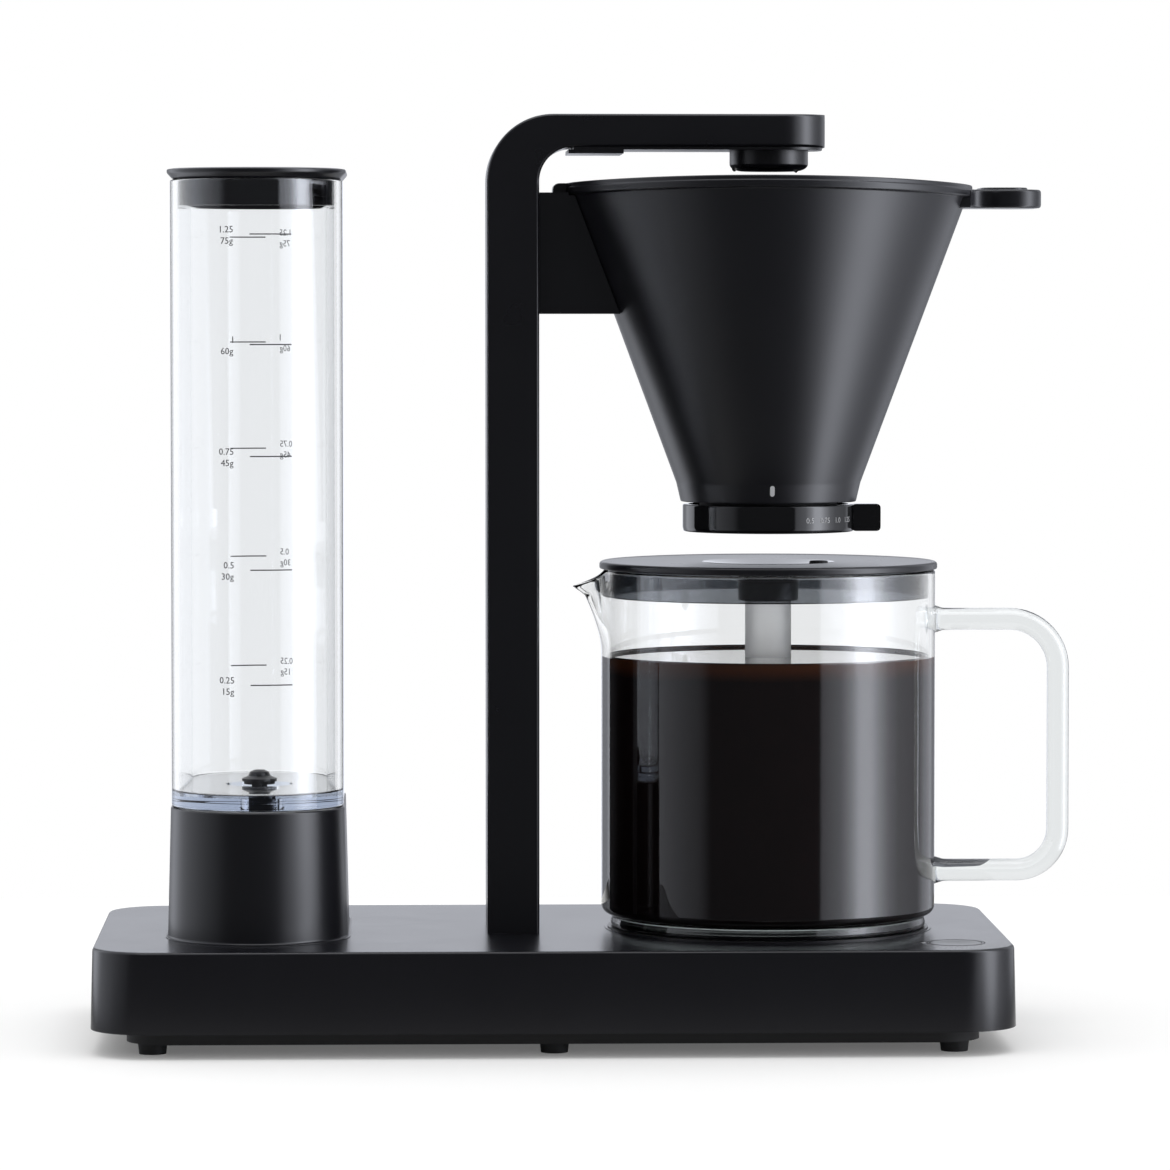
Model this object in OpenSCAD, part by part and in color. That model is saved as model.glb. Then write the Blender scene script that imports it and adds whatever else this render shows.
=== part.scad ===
// Drip filter coffee maker. A flat base carries a clear water tank on a
// socket, a slim column that bends into an arm, and a warming plate with a
// glass carafe. The filter basket hangs from a bracket on the column, and the
// ring under it sets the flow. Millimetres, +Z up, the front faces -Y, and the
// origin is the middle of the whole footprint on the surface it stands on.

/* [Base] */
// Width of the base housing at its lower edge
base_w = 342.4; // [325:1:380]
// Depth of the base housing at its lower edge
base_d = 173.4; // [162:1:200]
// Height of the base housing's side wall
housing_h = 30.2; // [29:0.2:40]
// Corner radius of the base in plan
base_corner_r = 23; // [12:1:32]
// How far the side wall leans in towards the top
base_draft = 0.7; // [0:0.1:1.5]
// Radius of the housing's rounded top edge
base_edge_r = 1.4; // [0.6:0.1:2.4]
// Wall of the base housing
housing_wall = 2.6; // [2:0.1:3]
// Setback of the bottom cover behind the side wall
cover_inset = 13; // [10:0.5:15]
// Height of the bottom cover that shows below the housing
cover_h = 5.3; // [4.5:0.1:7]
// Wall of the bottom cover
cover_wall = 2.4; // [2:0.1:3]
// Diameter of a rubber foot
foot_d = 11; // [9:0.5:13]
// Height of a rubber foot below the bottom cover
foot_h = 4; // [3:0.5:6]
// Distance of the outer feet from the ends of the base
foot_in_x = 22.9; // [20:0.5:26]
// Distance of the feet from the front and the back of the base
foot_in_y = 21.7; // [20:0.5:26]
// Length of one vent slot in the bottom cover
vent_l = 26; // [16:1:30]
// Width of one vent slot
vent_w = 3; // [2:0.2:4]

/* [Stations along the base] */
// Distance of the tank's middle from the left end of the base
tank_in = 61.1; // [58:0.5:64]
// Distance of the brewing axis from the right end of the base
brew_in = 88.2; // [84:0.2:92]
// Distance from the column's middle to the brewing axis
column_to_brew = 97.2; // [96:0.2:100]
// Distance of the power button's middle from the right end
button_in_x = 22; // [18:0.5:24]
// Distance of the power button's middle from the front
button_in_y = 26.5; // [24:0.5:30]

/* [Column and arm] */
// Overall height of the machine
machine_h = 347.4; // [340:1:370]
// Thickness of the column, side to side
column_w = 19.6; // [18:0.2:24]
// Depth of the column and arm, front to back
column_d = 44; // [42:1:52]
// Thickness of the arm
arm_t = 12.3; // [12:0.1:15]
// Length of the arm past the brewing axis
arm_past = 21; // [19:0.5:28]
// Outer radius of the bend
bend_outer_r = 25; // [21:0.5:30]
// Inner radius of the bend
bend_inner_r = 13; // [10:0.5:16]
// Radius of the arm's end in plan
arm_end_r = 17; // [10:0.5:21]
// Wall of the column and arm
column_wall = 2; // [1.6:0.1:2.2]
// Height of the solid block inside the column's foot
foot_block_h = 22; // [18:1:40]
// Thickness of the plate that closes the arm from below
arm_cover_t = 1; // [0.8:0.1:1.2]
// Extra thickness of the cover's pad beside the bend
pad_t = 1.45; // [1:0.05:2]
// Length of that pad
pad_l = 20.7; // [16:0.5:24]
// Diameter of the spray head
spray_d = 29.7; // [26:0.5:34]
// Height of the spray head below the arm's cover
spray_h = 7.8; // [7:0.1:9]

/* [Filter basket] */
// Free height between spray head and basket rim
basket_gap = 2.6; // [2:0.1:4]
// Free height between the carafe's lid and the flow ring
lid_clear = 11.2; // [9:0.2:14]
// Diameter of the basket over its rim
rim_d = 155; // [150:0.5:160]
// Height of the rim band
rim_h = 4.5; // [3.5:0.1:6]
// How far the rim bows down at the handle, against its middle
handle_dip = 2.8; // [1:0.1:4]
// How far the rim bows down at the tongue, against its middle
tongue_dip = 1.8; // [1:0.1:4]
// Outer diameter of the cone just under the rim
cone_top_d = 152; // [146:0.5:153]
// Outer diameter of the cone at its lower end
cone_low_d = 69.8; // [68:0.2:74]
// Outer diameter at the basket's lower edge
skirt_d = 66.6; // [66:0.2:68]
// Height of the steep skirt at the lower edge
skirt_h = 7.1; // [6:0.1:9]
// Wall of the basket
basket_wall = 2.2; // [1.8:0.1:2.5]
// Number of drainage ribs inside the cone
rib_count = 12; // [8:1:16]
// Length of the thumb handle past the rim
handle_l = 24; // [20:0.5:30]
// Width of the thumb handle
handle_w = 38; // [30:1:44]
// Thickness of the thumb handle
handle_t = 7; // [6:0.1:8]
// Corner radius of the thumb handle, seen from above
handle_r = 11; // [8:0.5:11]
// Radius of the hollow between rim and thumb handle
neck_r = 3.5; // [3:0.1:5]
// Outer diameter of the flow ring
ring_d = 65.1; // [64:0.1:66]
// Height of the flow ring
ring_h = 10.3; // [9.5:0.1:12]
// Gap between the basket's skirt and the ring
ring_gap = 1; // [0.6:0.1:1.4]
// Length of the ring's lever
lever_l = 10; // [8:0.5:12]
// Diameter of the hub pin that the ring turns on
hub_d = 8; // [6:0.5:10]
// Radial running clearance of the ring on its hub
ring_fit = 0.06; // [0.02:0.01:0.1]
// Turn of the ring from closed to fully open, in degrees
ring_turn = 72; // [68:1:76]
// Height of the bracket on the column
bracket_h = 45.6; // [42:0.2:50]
// Drop of the bracket's top below the basket's rim
bracket_drop = 5.6; // [5:0.1:6]
// Width of the bracket, front to back
bracket_w = 32; // [30:1:38]
// Clearance between bracket and basket
bracket_gap = 0.4; // [0.3:0.05:0.8]

/* [Carafe] */
// Outer diameter of the glass
carafe_d = 126.7; // [122:0.2:128]
// Height of the glass from its foot to its rim
carafe_h = 135.6; // [130:0.5:136.5]
// Wall of the glass
glass_wall = 2.2; // [1.8:0.1:3]
// Radius of the glass where the wall turns into the floor
heel_r = 8; // [6:0.5:10]
// Height of the pressed foot ring under the glass
glass_foot_h = 1.4; // [1:0.1:2]
// Diameter of that foot ring
glass_foot_d = 119; // [114:0.5:120]
// Reach of the spout's tip from the middle of the carafe
spout_reach = 74.6; // [72:0.2:77]
// Depth of the spout's tip below the glass rim
spout_drop = 6.4; // [4:0.2:8]
// Height of the spout on the wall
spout_h = 30; // [24:1:36]
// Diameter of the handle's glass rod
rod_d = 8.4; // [7:0.1:10]
// Reach of the handle from the middle of the carafe
handle_reach = 114.7; // [108:0.5:120]
// Height of the handle's upper arm above the carafe's foot
handle_hi = 116.5; // [110:0.5:119]
// Height of the handle's lower arm above the carafe's foot
handle_lo = 20.8; // [17:0.5:26]
// Bend radius of the handle at the top
handle_hi_r = 18.6; // [14:0.2:22]
// Bend radius of the handle at the bottom
handle_lo_r = 15.8; // [12:0.2:20]
// Diameter of the carafe's lid
lid_d = 128.2; // [128:0.2:132]
// Thickness of the lid's rim
lid_t = 3; // [2.4:0.1:3.6]
// Depth of the lid's grey skirt inside the glass
lid_skirt_h = 10.6; // [8:0.2:12]
// Diameter of the well in the lid
well_d = 50; // [44:0.5:56]
// Depth of that well
well_h = 5; // [4:0.1:6]
// Outer diameter of the mixing tube
mix_d = 17.5; // [15:0.5:20]
// Length of the mixing tube
mix_l = 112; // [100:1:118]
// Diameter of the warming plate
plate_d = 122; // [121:0.5:124]
// How far the plate stands above the base
plate_rise = 0.6; // [0.4:0.1:1]

/* [Water tank] */
// Width of the clear tank
tank_w = 64.3; // [61:0.1:64.6]
// Depth of the clear tank, front to back
tank_d = 123; // [116:0.5:125]
// Wall of the tank
tank_wall = 2.6; // [2.2:0.1:3]
// Thickness of the tank's clear floor
tank_floor = 5.7; // [5.2:0.1:6.5]
// Drop of the tank's rim below the top of the machine
tank_drop = 24.9; // [20:0.1:30]
// Height of the black socket under the tank
socket_h = 49; // [46:0.5:54]
// Width of the socket at its top
socket_w = 65; // [64.9:0.1:66.5]
// How far the socket flares out towards its foot, on each side
socket_flare = 1.2; // [0.6:0.1:2]
// Thickness of the tank lid's top
tank_lid_t = 4; // [3:0.1:5]
// Overhang of the tank lid past the tank
tank_lid_over = 1.2; // [0.8:0.1:1.8]
// Depth of the lid's skirt inside the tank
tank_skirt_h = 10; // [7:0.5:13]
// Diameter of the valve's cap in the tank's floor
valve_cap_d = 13.6; // [12:0.2:15]
// Lift of the open valve
valve_lift = 3.5; // [3:0.1:4]

/* [Water path and heater] */
// Outer diameter of the feed hose
feed_od = 10; // [9.4:0.1:10.4]
// Bore of the feed hose
feed_id = 6.4; // [6:0.1:6.8]
// Outer diameter of the riser hose
riser_od = 7.6; // [7:0.1:7.8]
// Bore of the riser hose
riser_id = 5; // [4.6:0.1:5.4]
// Radius of the heater's bend, on the middle of its tube
heater_r = 34; // [31:0.5:37]
// Length of the heater's straight legs
heater_leg = 24; // [20:0.5:26]
// Width of the heater's aluminium casting
heater_w = 20; // [17:0.5:22]
// Depth of the hoses' middle below the top of the base
hose_drop = 15.5; // [15:0.1:17]

/* [Controls] */
// Diameter of the power button
button_d = 19; // [16:0.5:22]
// Travel of the power button
button_travel = 1; // [0.6:0.1:1.4]
// Length of the control board
board_l = 50; // [40:1:52]
// Width of the control board
board_w = 46; // [36:1:48]
// Diameter of the cord inlet's bore
inlet_d = 7.5; // [6:0.1:8.5]

/* [Hidden] */
$fn = 64;
eps = 0.02;
seat = 0.3;         // air between pieces that lie next to each other
slip = 0.1;         // air round a screw, pin or barb in its hole

// Levels, from the floor up
cover_z = foot_h;
floor_z = cover_z + cover_wall;
housing_z = cover_z + cover_h;
deck_z = housing_z + housing_h;
deck_under = deck_z - housing_wall;
plate_z = deck_z + plate_rise;
hose_z = deck_z - hose_drop;
socket_top = deck_z + socket_h;
tank_z = socket_top + seat;
tank_rim_z = machine_h - tank_drop;
tank_h = tank_rim_z - tank_z;
arm_under = machine_h - arm_t;
arm_cover_z = arm_under - arm_cover_t;
spray_z = arm_cover_z - spray_h;
rim_z = spray_z - basket_gap;
bracket_top = rim_z - bracket_drop;
carafe_rim_z = plate_z + carafe_h;
lid_z = carafe_rim_z + seat;
ring_z = lid_z + lid_t + lid_clear;
ring_top = ring_z + ring_h;
basket_z = ring_top + ring_gap;

// Stations, left to right; the base is shifted so that the whole footprint is centred
base_x = (brew_in - handle_reach) / 2;
tank_x = base_x - base_w / 2 + tank_in;
brew_x = base_x + base_w / 2 - brew_in;
column_x = brew_x - column_to_brew;
column_x0 = column_x - column_w / 2;
column_x1 = column_x + column_w / 2;
arm_end_x = brew_x + arm_past;
button_x = base_x + base_w / 2 - button_in_x;
button_y = -base_d / 2 + button_in_y;
foot_x = base_w / 2 - foot_in_x;
foot_y = base_d / 2 - foot_in_y;

// Screws and their places
screw_d = 3;
head_d = 5.6;
boss_d = 7;
bolt_d = 5;
bolt_head_d = 8.5;
bolt_head_h = 4;
clamp_plate_t = 2;
clamp_plate_w = column_w + 12.4;
bolt_y = column_d / 2 - 8;
cover_screw_in = 23;
cover_screw_x = base_w / 2 - cover_screw_in;
cover_screw_y = 30;
mid_screw_x = 12;
mid_screw_y = base_d / 2 - 19;
COVER_SCREWS = [
    for (sy = [-1, 1]) [mid_screw_x, sy * mid_screw_y],
    for (sx = [-1, 1], sy = [-1, 1]) [sx * cover_screw_x, sy * cover_screw_y]
];
FEET = [for (sx = [-1, 0, 1], sy = [-1, 1]) [sx * foot_x, sy * foot_y]];

// ---------------------------------------------------------------- shapes

// Rectangle with rounded corners
module rounded_rect(w, d, r) {
    square([w, d - 2 * r], center = true);
    square([w - 2 * r, d], center = true);
    for (sx = [-1, 1], sy = [-1, 1])
        translate([sx * (w / 2 - r), sy * (d / 2 - r)]) circle(r);
}

// Slot shape: two half circles of diameter w joined by straight sides, d overall
module stadium(w, d) {
    square([w, d - w], center = true);
    for (sy = [-1, 1])
        translate([0, sy * (d - w) / 2]) circle(d = w);
}

// Stadium wall that widens downwards by flare on each side
module flared_stadium(w, d, flare, h) {
    rotate([90, 0, 0])
        linear_extrude(d - w, center = true)
            polygon([[-w / 2 - flare, 0], [w / 2 + flare, 0], [w / 2, h], [-w / 2, h]]);
    for (sy = [-1, 1])
        translate([0, sy * (d - w) / 2, 0])
            cylinder(r1 = w / 2 + flare, r2 = w / 2, h = h);
}

// Hollow cylinder from z = 0 to h
module tube(od, id, h) {
    difference() {
        cylinder(d = od, h = h);
        translate([0, 0, -1]) cylinder(d = id, h = h + 2);
    }
}

// Quarter or other bend of a hose, round the Z axis, starting on +X
module tube_bend(r, angle, od, id) {
    rotate_extrude(angle = angle)
        translate([r, 0])
            difference() {
                circle(d = od, $fn = 32);
                circle(d = id, $fn = 32);
            }
}

// Countersunk screw: flat head at z = 0, shank upwards
module countersunk_screw(d, head, length) {
    cylinder(d1 = head, d2 = d, h = (head - d) / 2);
    cylinder(d = d, h = length);
}

// Compression spring standing on z = 0, swept as one closed tube
module coil_spring(mean_r, wire, h, turns, sides = 6, steps = 14) {
    rings = turns * steps;
    pts = [
        for (i = [0 : rings])
            let (a = 360 * i / steps, z = wire / 2 + (h - wire) * i / rings)
                for (k = [0 : sides - 1])
                    let (b = 360 * k / sides, r = mean_r + wire / 2 * cos(b))
                        [r * cos(a), r * sin(a), z + wire / 2 * sin(b)]
    ];
    walls = [
        for (i = [0 : rings - 1], k = [0 : sides - 1])
            let (n = (k + 1) % sides)
                [i * sides + k, (i + 1) * sides + k, (i + 1) * sides + n, i * sides + n]
    ];
    start_cap = [[for (k = [0 : sides - 1]) k]];
    end_cap = [[for (k = [sides - 1 : -1 : 0]) rings * sides + k]];
    polyhedron(points = pts, faces = concat(start_cap, walls, end_cap), convexity = 10);
}

// ------------------------------------------------------------------ base

gasket_t = 1.2;
flange_t = 1.5;
flange_d = plate_d + 9;
lug_r = plate_d / 2 + 7.5;
LUG_ANGLES = [60, 180, 300];
plate_t = 1.5;
deck_hole_d = 12;
tank_hole_d = feed_od + 4;
inlet_x = tank_x + 12;
inlet_z = housing_z + 12;
inlet_neck_d = inlet_d + 5;
socket_screw_x = 18;
socket_screw_y = 36;
post_x = 13;
post_y = 7;
switch_board_z = deck_under - 11.3;
board_t = 1.6;
light_x = button_x - button_d / 2 - 2.4;
board_in_y = 41.7;
board_gap = 3;
terminal_w = 28;
board_x = inlet_x + terminal_w / 2 + board_gap + board_l / 2;
board_y = base_d / 2 - board_in_y;
standoff_h = 4;
stake_d = 3;

// One corner post of the housing: leaning wall and rounded top edge
module housing_corner() {
    top_r = base_corner_r - base_draft;
    edge = [
        for (a = [0 : 22.5 : 90])
            [top_r - base_edge_r * (1 - cos(a)), housing_h - base_edge_r * (1 - sin(a))]
    ];
    rotate_extrude($fn = 48)
        polygon(concat([[0, 0], [base_corner_r, 0]], edge, [[0, housing_h]]));
}

module housing_shell() {
    hull()
        for (sx = [-1, 1], sy = [-1, 1])
            translate([sx * (base_w / 2 - base_corner_r), sy * (base_d / 2 - base_corner_r), 0])
                housing_corner();
}

// Places of the four heat-staked posts that hold the switch board
module switch_posts() {
    for (sx = [-1, 1], sy = [-1, 1])
        translate([button_x + sx * post_x, button_y + sy * post_y, 0]) children();
}

module base_housing() color("#1d1d20") {
    inner_w = base_w - 2 * (base_draft + housing_wall);
    inner_d = base_d - 2 * (base_draft + housing_wall);
    difference() {
        union() {
            difference() {
                translate([base_x, 0, housing_z]) housing_shell();
                translate([base_x, 0, housing_z - 1])
                    linear_extrude(housing_h - housing_wall + 1)
                        rounded_rect(inner_w, inner_d, base_corner_r - base_draft - housing_wall);
            }
            for (p = COVER_SCREWS)
                translate([base_x + p.x, p.y, floor_z])
                    cylinder(d = boss_d, h = deck_under - floor_z + 1);
            for (a = LUG_ANGLES)
                translate([brew_x, 0, deck_under - gasket_t])
                    rotate([0, 0, a]) translate([lug_r, 0, 0])
                        cylinder(d = boss_d, h = gasket_t + 1);
            switch_posts()
                translate([0, 0, switch_board_z + board_t])
                    cylinder(d = 5.6, h = deck_under - switch_board_z - board_t + 1);
            switch_posts()
                translate([0, 0, switch_board_z - 0.8])
                    cylinder(d = stake_d, h = board_t + 2);
        }
        for (p = COVER_SCREWS)
            translate([base_x + p.x, p.y, floor_z - 1])
                cylinder(d = screw_d + slip, h = 14);
        for (a = LUG_ANGLES)
            translate([brew_x, 0, deck_under - gasket_t - 1])
                rotate([0, 0, a]) translate([lug_r, 0, 0])
                    cylinder(d = screw_d + slip, h = gasket_t + 2.6);
        translate([brew_x, 0, deck_under - gasket_t - 1])
            cylinder(d = plate_d + 2 * gasket_t, h = housing_wall + gasket_t + 2);
        translate([tank_x, 0, deck_under - 1])
            cylinder(d = tank_hole_d, h = housing_wall + 2);
        translate([column_x, 0, deck_under - 1])
            cylinder(d = deck_hole_d, h = housing_wall + 2);
        for (sy = [-1, 1])
            translate([column_x, sy * bolt_y, deck_under - 1])
                cylinder(d = bolt_d + 2 * slip, h = housing_wall + 2);
        for (sx = [-1, 1], sy = [-1, 1])
            translate([tank_x + sx * socket_screw_x, sy * socket_screw_y, deck_under - 1])
                cylinder(d = screw_d + 2 * slip, h = housing_wall + 2);
        translate([button_x, button_y, deck_under - 1])
            cylinder(d = button_d + 2 * seat, h = housing_wall + 2);
        translate([light_x, button_y, deck_under - 1])
            cylinder(d = 2 + slip, h = housing_wall + 2);
        translate([inlet_x, base_d / 2 - 8, inlet_z])
            rotate([-90, 0, 0]) cylinder(d = inlet_neck_d + slip, h = 12);
    }
}

// Row of vent slots along X, centred
module vent_row(count, pitch) {
    for (i = [0 : count - 1])
        translate([(i - (count - 1) / 2) * pitch, 0]) stadium(vent_w, vent_l);
}

module bottom_cover() color("#161618") {
    plinth_w = base_w - 2 * cover_inset;
    plinth_d = base_d - 2 * cover_inset;
    plinth_r = base_corner_r - cover_inset / 2;
    rim_w = base_w - 2 * (base_draft + housing_wall + seat);
    rim_d_ = base_d - 2 * (base_draft + housing_wall + seat);
    difference() {
        union() {
            translate([base_x, 0, cover_z])
                linear_extrude(cover_h) rounded_rect(plinth_w, plinth_d, plinth_r);
            translate([base_x, 0, housing_z])
                linear_extrude(cover_wall)
                    rounded_rect(rim_w, rim_d_, base_corner_r - base_draft - housing_wall - seat);
        }
        translate([base_x, 0, floor_z])
            linear_extrude(cover_h + cover_wall)
                rounded_rect(plinth_w - 2 * cover_wall, plinth_d - 2 * cover_wall, plinth_r - cover_wall);
        for (p = COVER_SCREWS)
            translate([base_x + p.x, p.y, cover_z]) {
                cylinder(d1 = head_d + 2 * slip, d2 = screw_d + 2 * slip, h = (head_d - screw_d) / 2);
                translate([0, 0, -1]) cylinder(d = screw_d + 2 * slip, h = cover_wall + 2);
            }
        for (f = FEET)
            translate([base_x + f.x, f.y, cover_z - 1])
                cylinder(d = foot_d / 2 - 0.6, h = cover_wall + 2);
        translate([brew_x, 0, cover_z - 1]) linear_extrude(cover_wall + 2) vent_row(8, 9);
    }
    for (sx = [-1, 1], sy = [-1, 1])
        translate([board_x + sx * (board_l / 2 - 4), board_y + sy * (board_w / 2 - 4), floor_z - eps]) {
            cylinder(d = 6, h = standoff_h + eps);
            cylinder(d = stake_d, h = standoff_h + board_t + 1);
        }
}

module rubber_feet() color("#121212")
    for (f = FEET)
        translate([base_x + f.x, f.y, 0]) {
            cylinder(d1 = foot_d - 1, d2 = foot_d, h = foot_h);
            cylinder(d = foot_d / 2 - 0.8, h = foot_h + cover_wall + 0.4);
            translate([0, 0, foot_h + cover_wall])
                cylinder(d1 = foot_d / 2 + 0.8, d2 = foot_d / 2 - 1.4, h = 1.6);
        }

module bottom_screws() color("#8a8c90")
    for (p = COVER_SCREWS)
        translate([base_x + p.x, p.y, cover_z]) countersunk_screw(screw_d, head_d, 12);

// --------------------------------------------------- warming plate, heater

heater_top = plate_z - plate_t;
heater_low = hose_z - 6;
element_d = 6.5;
element_z = heater_top - 4.8;
stub_l = 18;
bar_t = 2;
stud_d = 5;
inlet_barb_d = feed_id - 2 * slip;
outlet_barb_d = riser_id - 2 * slip;

module warming_plate() color("#202022") {
    flange_z = deck_under - gasket_t - flange_t;
    difference() {
        union() {
            translate([brew_x, 0, flange_z])
                cylinder(d = plate_d, h = plate_z - flange_z);
            translate([brew_x, 0, flange_z]) cylinder(d = flange_d, h = flange_t);
            for (a = LUG_ANGLES)
                translate([brew_x, 0, flange_z])
                    rotate([0, 0, a]) translate([lug_r, 0, 0]) cylinder(d = 9, h = flange_t);
        }
        translate([brew_x, 0, flange_z - 1])
            cylinder(d = plate_d - 2 * plate_t, h = heater_top - flange_z + 1);
        for (a = LUG_ANGLES)
            translate([brew_x, 0, flange_z - 1])
                rotate([0, 0, a]) translate([lug_r, 0, 0])
                    cylinder(d = screw_d + 2 * slip, h = flange_t + 2);
    }
    translate([brew_x, 0, heater_low - bar_t - 5])
        cylinder(d = stud_d, h = heater_top - heater_low + bar_t + 5 + eps);
}

module plate_gasket() color("#3a3a3c")
    translate([brew_x, 0, deck_under - gasket_t])
        difference() {
            union() {
                tube(flange_d, plate_d + slip, gasket_t);
                tube(plate_d + 2 * gasket_t - slip, plate_d + slip, housing_wall + gasket_t + 0.2);
            }
            for (a = LUG_ANGLES)
                rotate([0, 0, a]) translate([lug_r, 0, -1])
                    cylinder(d = boss_d + slip, h = gasket_t + 2);
        }

module plate_screws() color("#8a8c90")
    for (a = LUG_ANGLES)
        translate([brew_x, 0, deck_under - gasket_t - flange_t])
            rotate([0, 0, a]) translate([lug_r, 0, 0]) {
                translate([0, 0, -2]) cylinder(d = head_d, h = 2);
                cylinder(d = screw_d, h = flange_t + gasket_t + 1.5);
            }

// Sweeps the children's section along the heater's U: X is across, Y is up
module heater_path(leg = heater_leg) {
    rotate([0, 0, -90]) rotate_extrude(angle = 180) translate([heater_r, 0]) children();
    for (sy = [-1, 1])
        translate([-leg, sy * heater_r, 0])
            rotate([90, 0, 90]) linear_extrude(leg) children();
}

module flow_heater() color("#b9bcc0")
    translate([brew_x, 0, 0])
        difference() {
            union() {
                heater_path()
                    union() {
                        translate([-heater_w / 2, heater_top - 10]) square([heater_w, 10]);
                        translate([-6, heater_low]) square([12, heater_top - heater_low - 1]);
                    }
                translate([-heater_leg, -heater_r, hose_z])
                    rotate([0, -90, 0]) cylinder(d = inlet_barb_d, h = stub_l);
                translate([-heater_leg, heater_r, hose_z])
                    rotate([0, -90, 0]) cylinder(d = outlet_barb_d, h = stub_l);
            }
            translate([0, 0, hose_z]) heater_path(heater_leg + stub_l + 1) circle(d = 3.2);
            translate([0, 0, element_z]) heater_path(heater_leg + 1) circle(d = element_d + slip);
        }

module heater_element() color("#77797c")
    translate([brew_x, 0, element_z]) {
        heater_path(heater_leg + 6) circle(d = element_d);
        for (sy = [-1, 1])
            translate([-heater_leg - 6, sy * heater_r, 0])
                rotate([0, -90, 0]) cylinder(d = 2.4, h = 7);
    }

module heater_clamp() color("#9a9ca0")
    difference() {
        bar_y = heater_r + heater_w / 2;
        translate([brew_x - 7, -bar_y, heater_low - bar_t]) cube([14, 2 * bar_y, bar_t]);
        translate([brew_x, 0, heater_low - bar_t - 1]) cylinder(d = stud_d + 2 * slip, h = bar_t + 2);
    }

module clamp_nut() color("#8a8c90")
    translate([brew_x, 0, heater_low - bar_t - 4])
        difference() {
            cylinder(d = 9.2, h = 4, $fn = 6);
            translate([0, 0, -1]) cylinder(d = stud_d + slip, h = 6);
        }

module thermostats() color("#c8c2b4")
    for (a = [-40, 40])
        translate([brew_x, 0, heater_low])
            rotate([0, 0, a]) translate([heater_r, 0, 0]) {
                translate([0, 0, -7]) cylinder(d = 14, h = 7);
                for (sy = [-1, 1])
                    translate([-3, sy * 4 - 0.4, -9]) cube([6, 0.8, 2 + eps]);
            }

module thermal_fuse() color("#d8d4c8")
    translate([brew_x, 12, heater_low - bar_t - 2])
        rotate([-90, 0, 0]) {
            cylinder(d = 4, h = 12);
            translate([0, 0, -4]) cylinder(d = 1, h = 20);
        }

// ------------------------------------------------------------------ hoses

feed_bend_r = 12;
feed_top = deck_z + 6.5;
valve_x = column_x + 27;
check_body_l = 16;
check_barb_l = 9;
inlet_end_x = brew_x - heater_leg - 8;
weave_r = heater_r / 2;
weave_gap = 7.9;
weave_x = column_x - weave_gap - 2 * weave_r;
riser_side_r = 20;
riser_up_r = heater_r - riser_side_r;
arm_hose_z = machine_h - column_wall - 2 * seat - riser_od / 2;
riser_top_r = arm_hose_z - (arm_under - bend_inner_r);
riser_end_x = brew_x - 9.5;

module feed_hose() color("#c9b9a0") {
    translate([tank_x, 0, hose_z + feed_bend_r])
        tube(feed_od, feed_id, feed_top - hose_z - feed_bend_r);
    translate([tank_x + feed_bend_r, 0, hose_z + feed_bend_r])
        rotate([90, 0, 0]) rotate([0, 0, 180]) tube_bend(feed_bend_r, 90, feed_od, feed_id);
    translate([tank_x + feed_bend_r, 0, hose_z])
        rotate([0, 90, 0]) tube(feed_od, feed_id, weave_x - tank_x - feed_bend_r);
    // a weave past the column, then by the non-return valve to the heater's front leg
    translate([weave_x, -weave_r, hose_z]) tube_bend(weave_r, 90, feed_od, feed_id);
    translate([weave_x + 2 * weave_r, -weave_r, hose_z])
        rotate([0, 0, 180]) tube_bend(weave_r, 90, feed_od, feed_id);
    translate([weave_x + 2 * weave_r, -heater_r, hose_z])
        rotate([0, 90, 0]) tube(feed_od, feed_id, valve_x - seat - weave_x - 2 * weave_r);
    second_x = valve_x + check_body_l + seat;
    translate([second_x, -heater_r, hose_z])
        rotate([0, 90, 0]) tube(feed_od, feed_id, inlet_end_x - second_x);
}

module check_valve() color("#e4e2dc")
    translate([valve_x, -heater_r, hose_z])
        rotate([0, 90, 0])
            difference() {
                union() {
                    cylinder(d = 14, h = check_body_l);
                    translate([0, 0, -check_barb_l])
                        cylinder(d = inlet_barb_d, h = check_body_l + 2 * check_barb_l);
                }
                translate([0, 0, -check_barb_l - 1]) cylinder(d = 4, h = check_barb_l + 4);
                translate([0, 0, check_body_l - 3]) cylinder(d = 4, h = check_barb_l + 4);
            }

module riser_hose() color("#d9d4c8") {
    start_x = brew_x - heater_leg - 8;
    bend_x = column_x + riser_side_r;
    translate([bend_x, heater_r, hose_z])
        rotate([0, 90, 0]) tube(riser_od, riser_id, start_x - bend_x);
    translate([bend_x, heater_r - riser_side_r, hose_z])
        rotate([0, 0, 90]) tube_bend(riser_side_r, 90, riser_od, riser_id);
    translate([column_x, riser_up_r, hose_z + riser_up_r])
        rotate([90, 0, 90]) rotate([0, 0, 180]) tube_bend(riser_up_r, 90, riser_od, riser_id);
    translate([column_x, 0, hose_z + riser_up_r])
        tube(riser_od, riser_id, arm_hose_z - riser_top_r - hose_z - riser_up_r);
    translate([column_x + riser_top_r, 0, arm_hose_z - riser_top_r])
        rotate([90, 0, 0]) rotate([0, 0, 90]) tube_bend(riser_top_r, 90, riser_od, riser_id);
    translate([column_x + riser_top_r, 0, arm_hose_z])
        rotate([0, 90, 0]) tube(riser_od, riser_id, riser_end_x - column_x - riser_top_r);
}

// Spring band round a hose of diameter d, with its two grip ears
module hose_clamp(d) {
    tube(d + 2, d + slip, 4);
    for (sy = [-1, 1])
        translate([d / 2 + 0.6, sy * 1.6 - 0.5, 0]) cube([2.6, 1, 4]);
}

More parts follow.
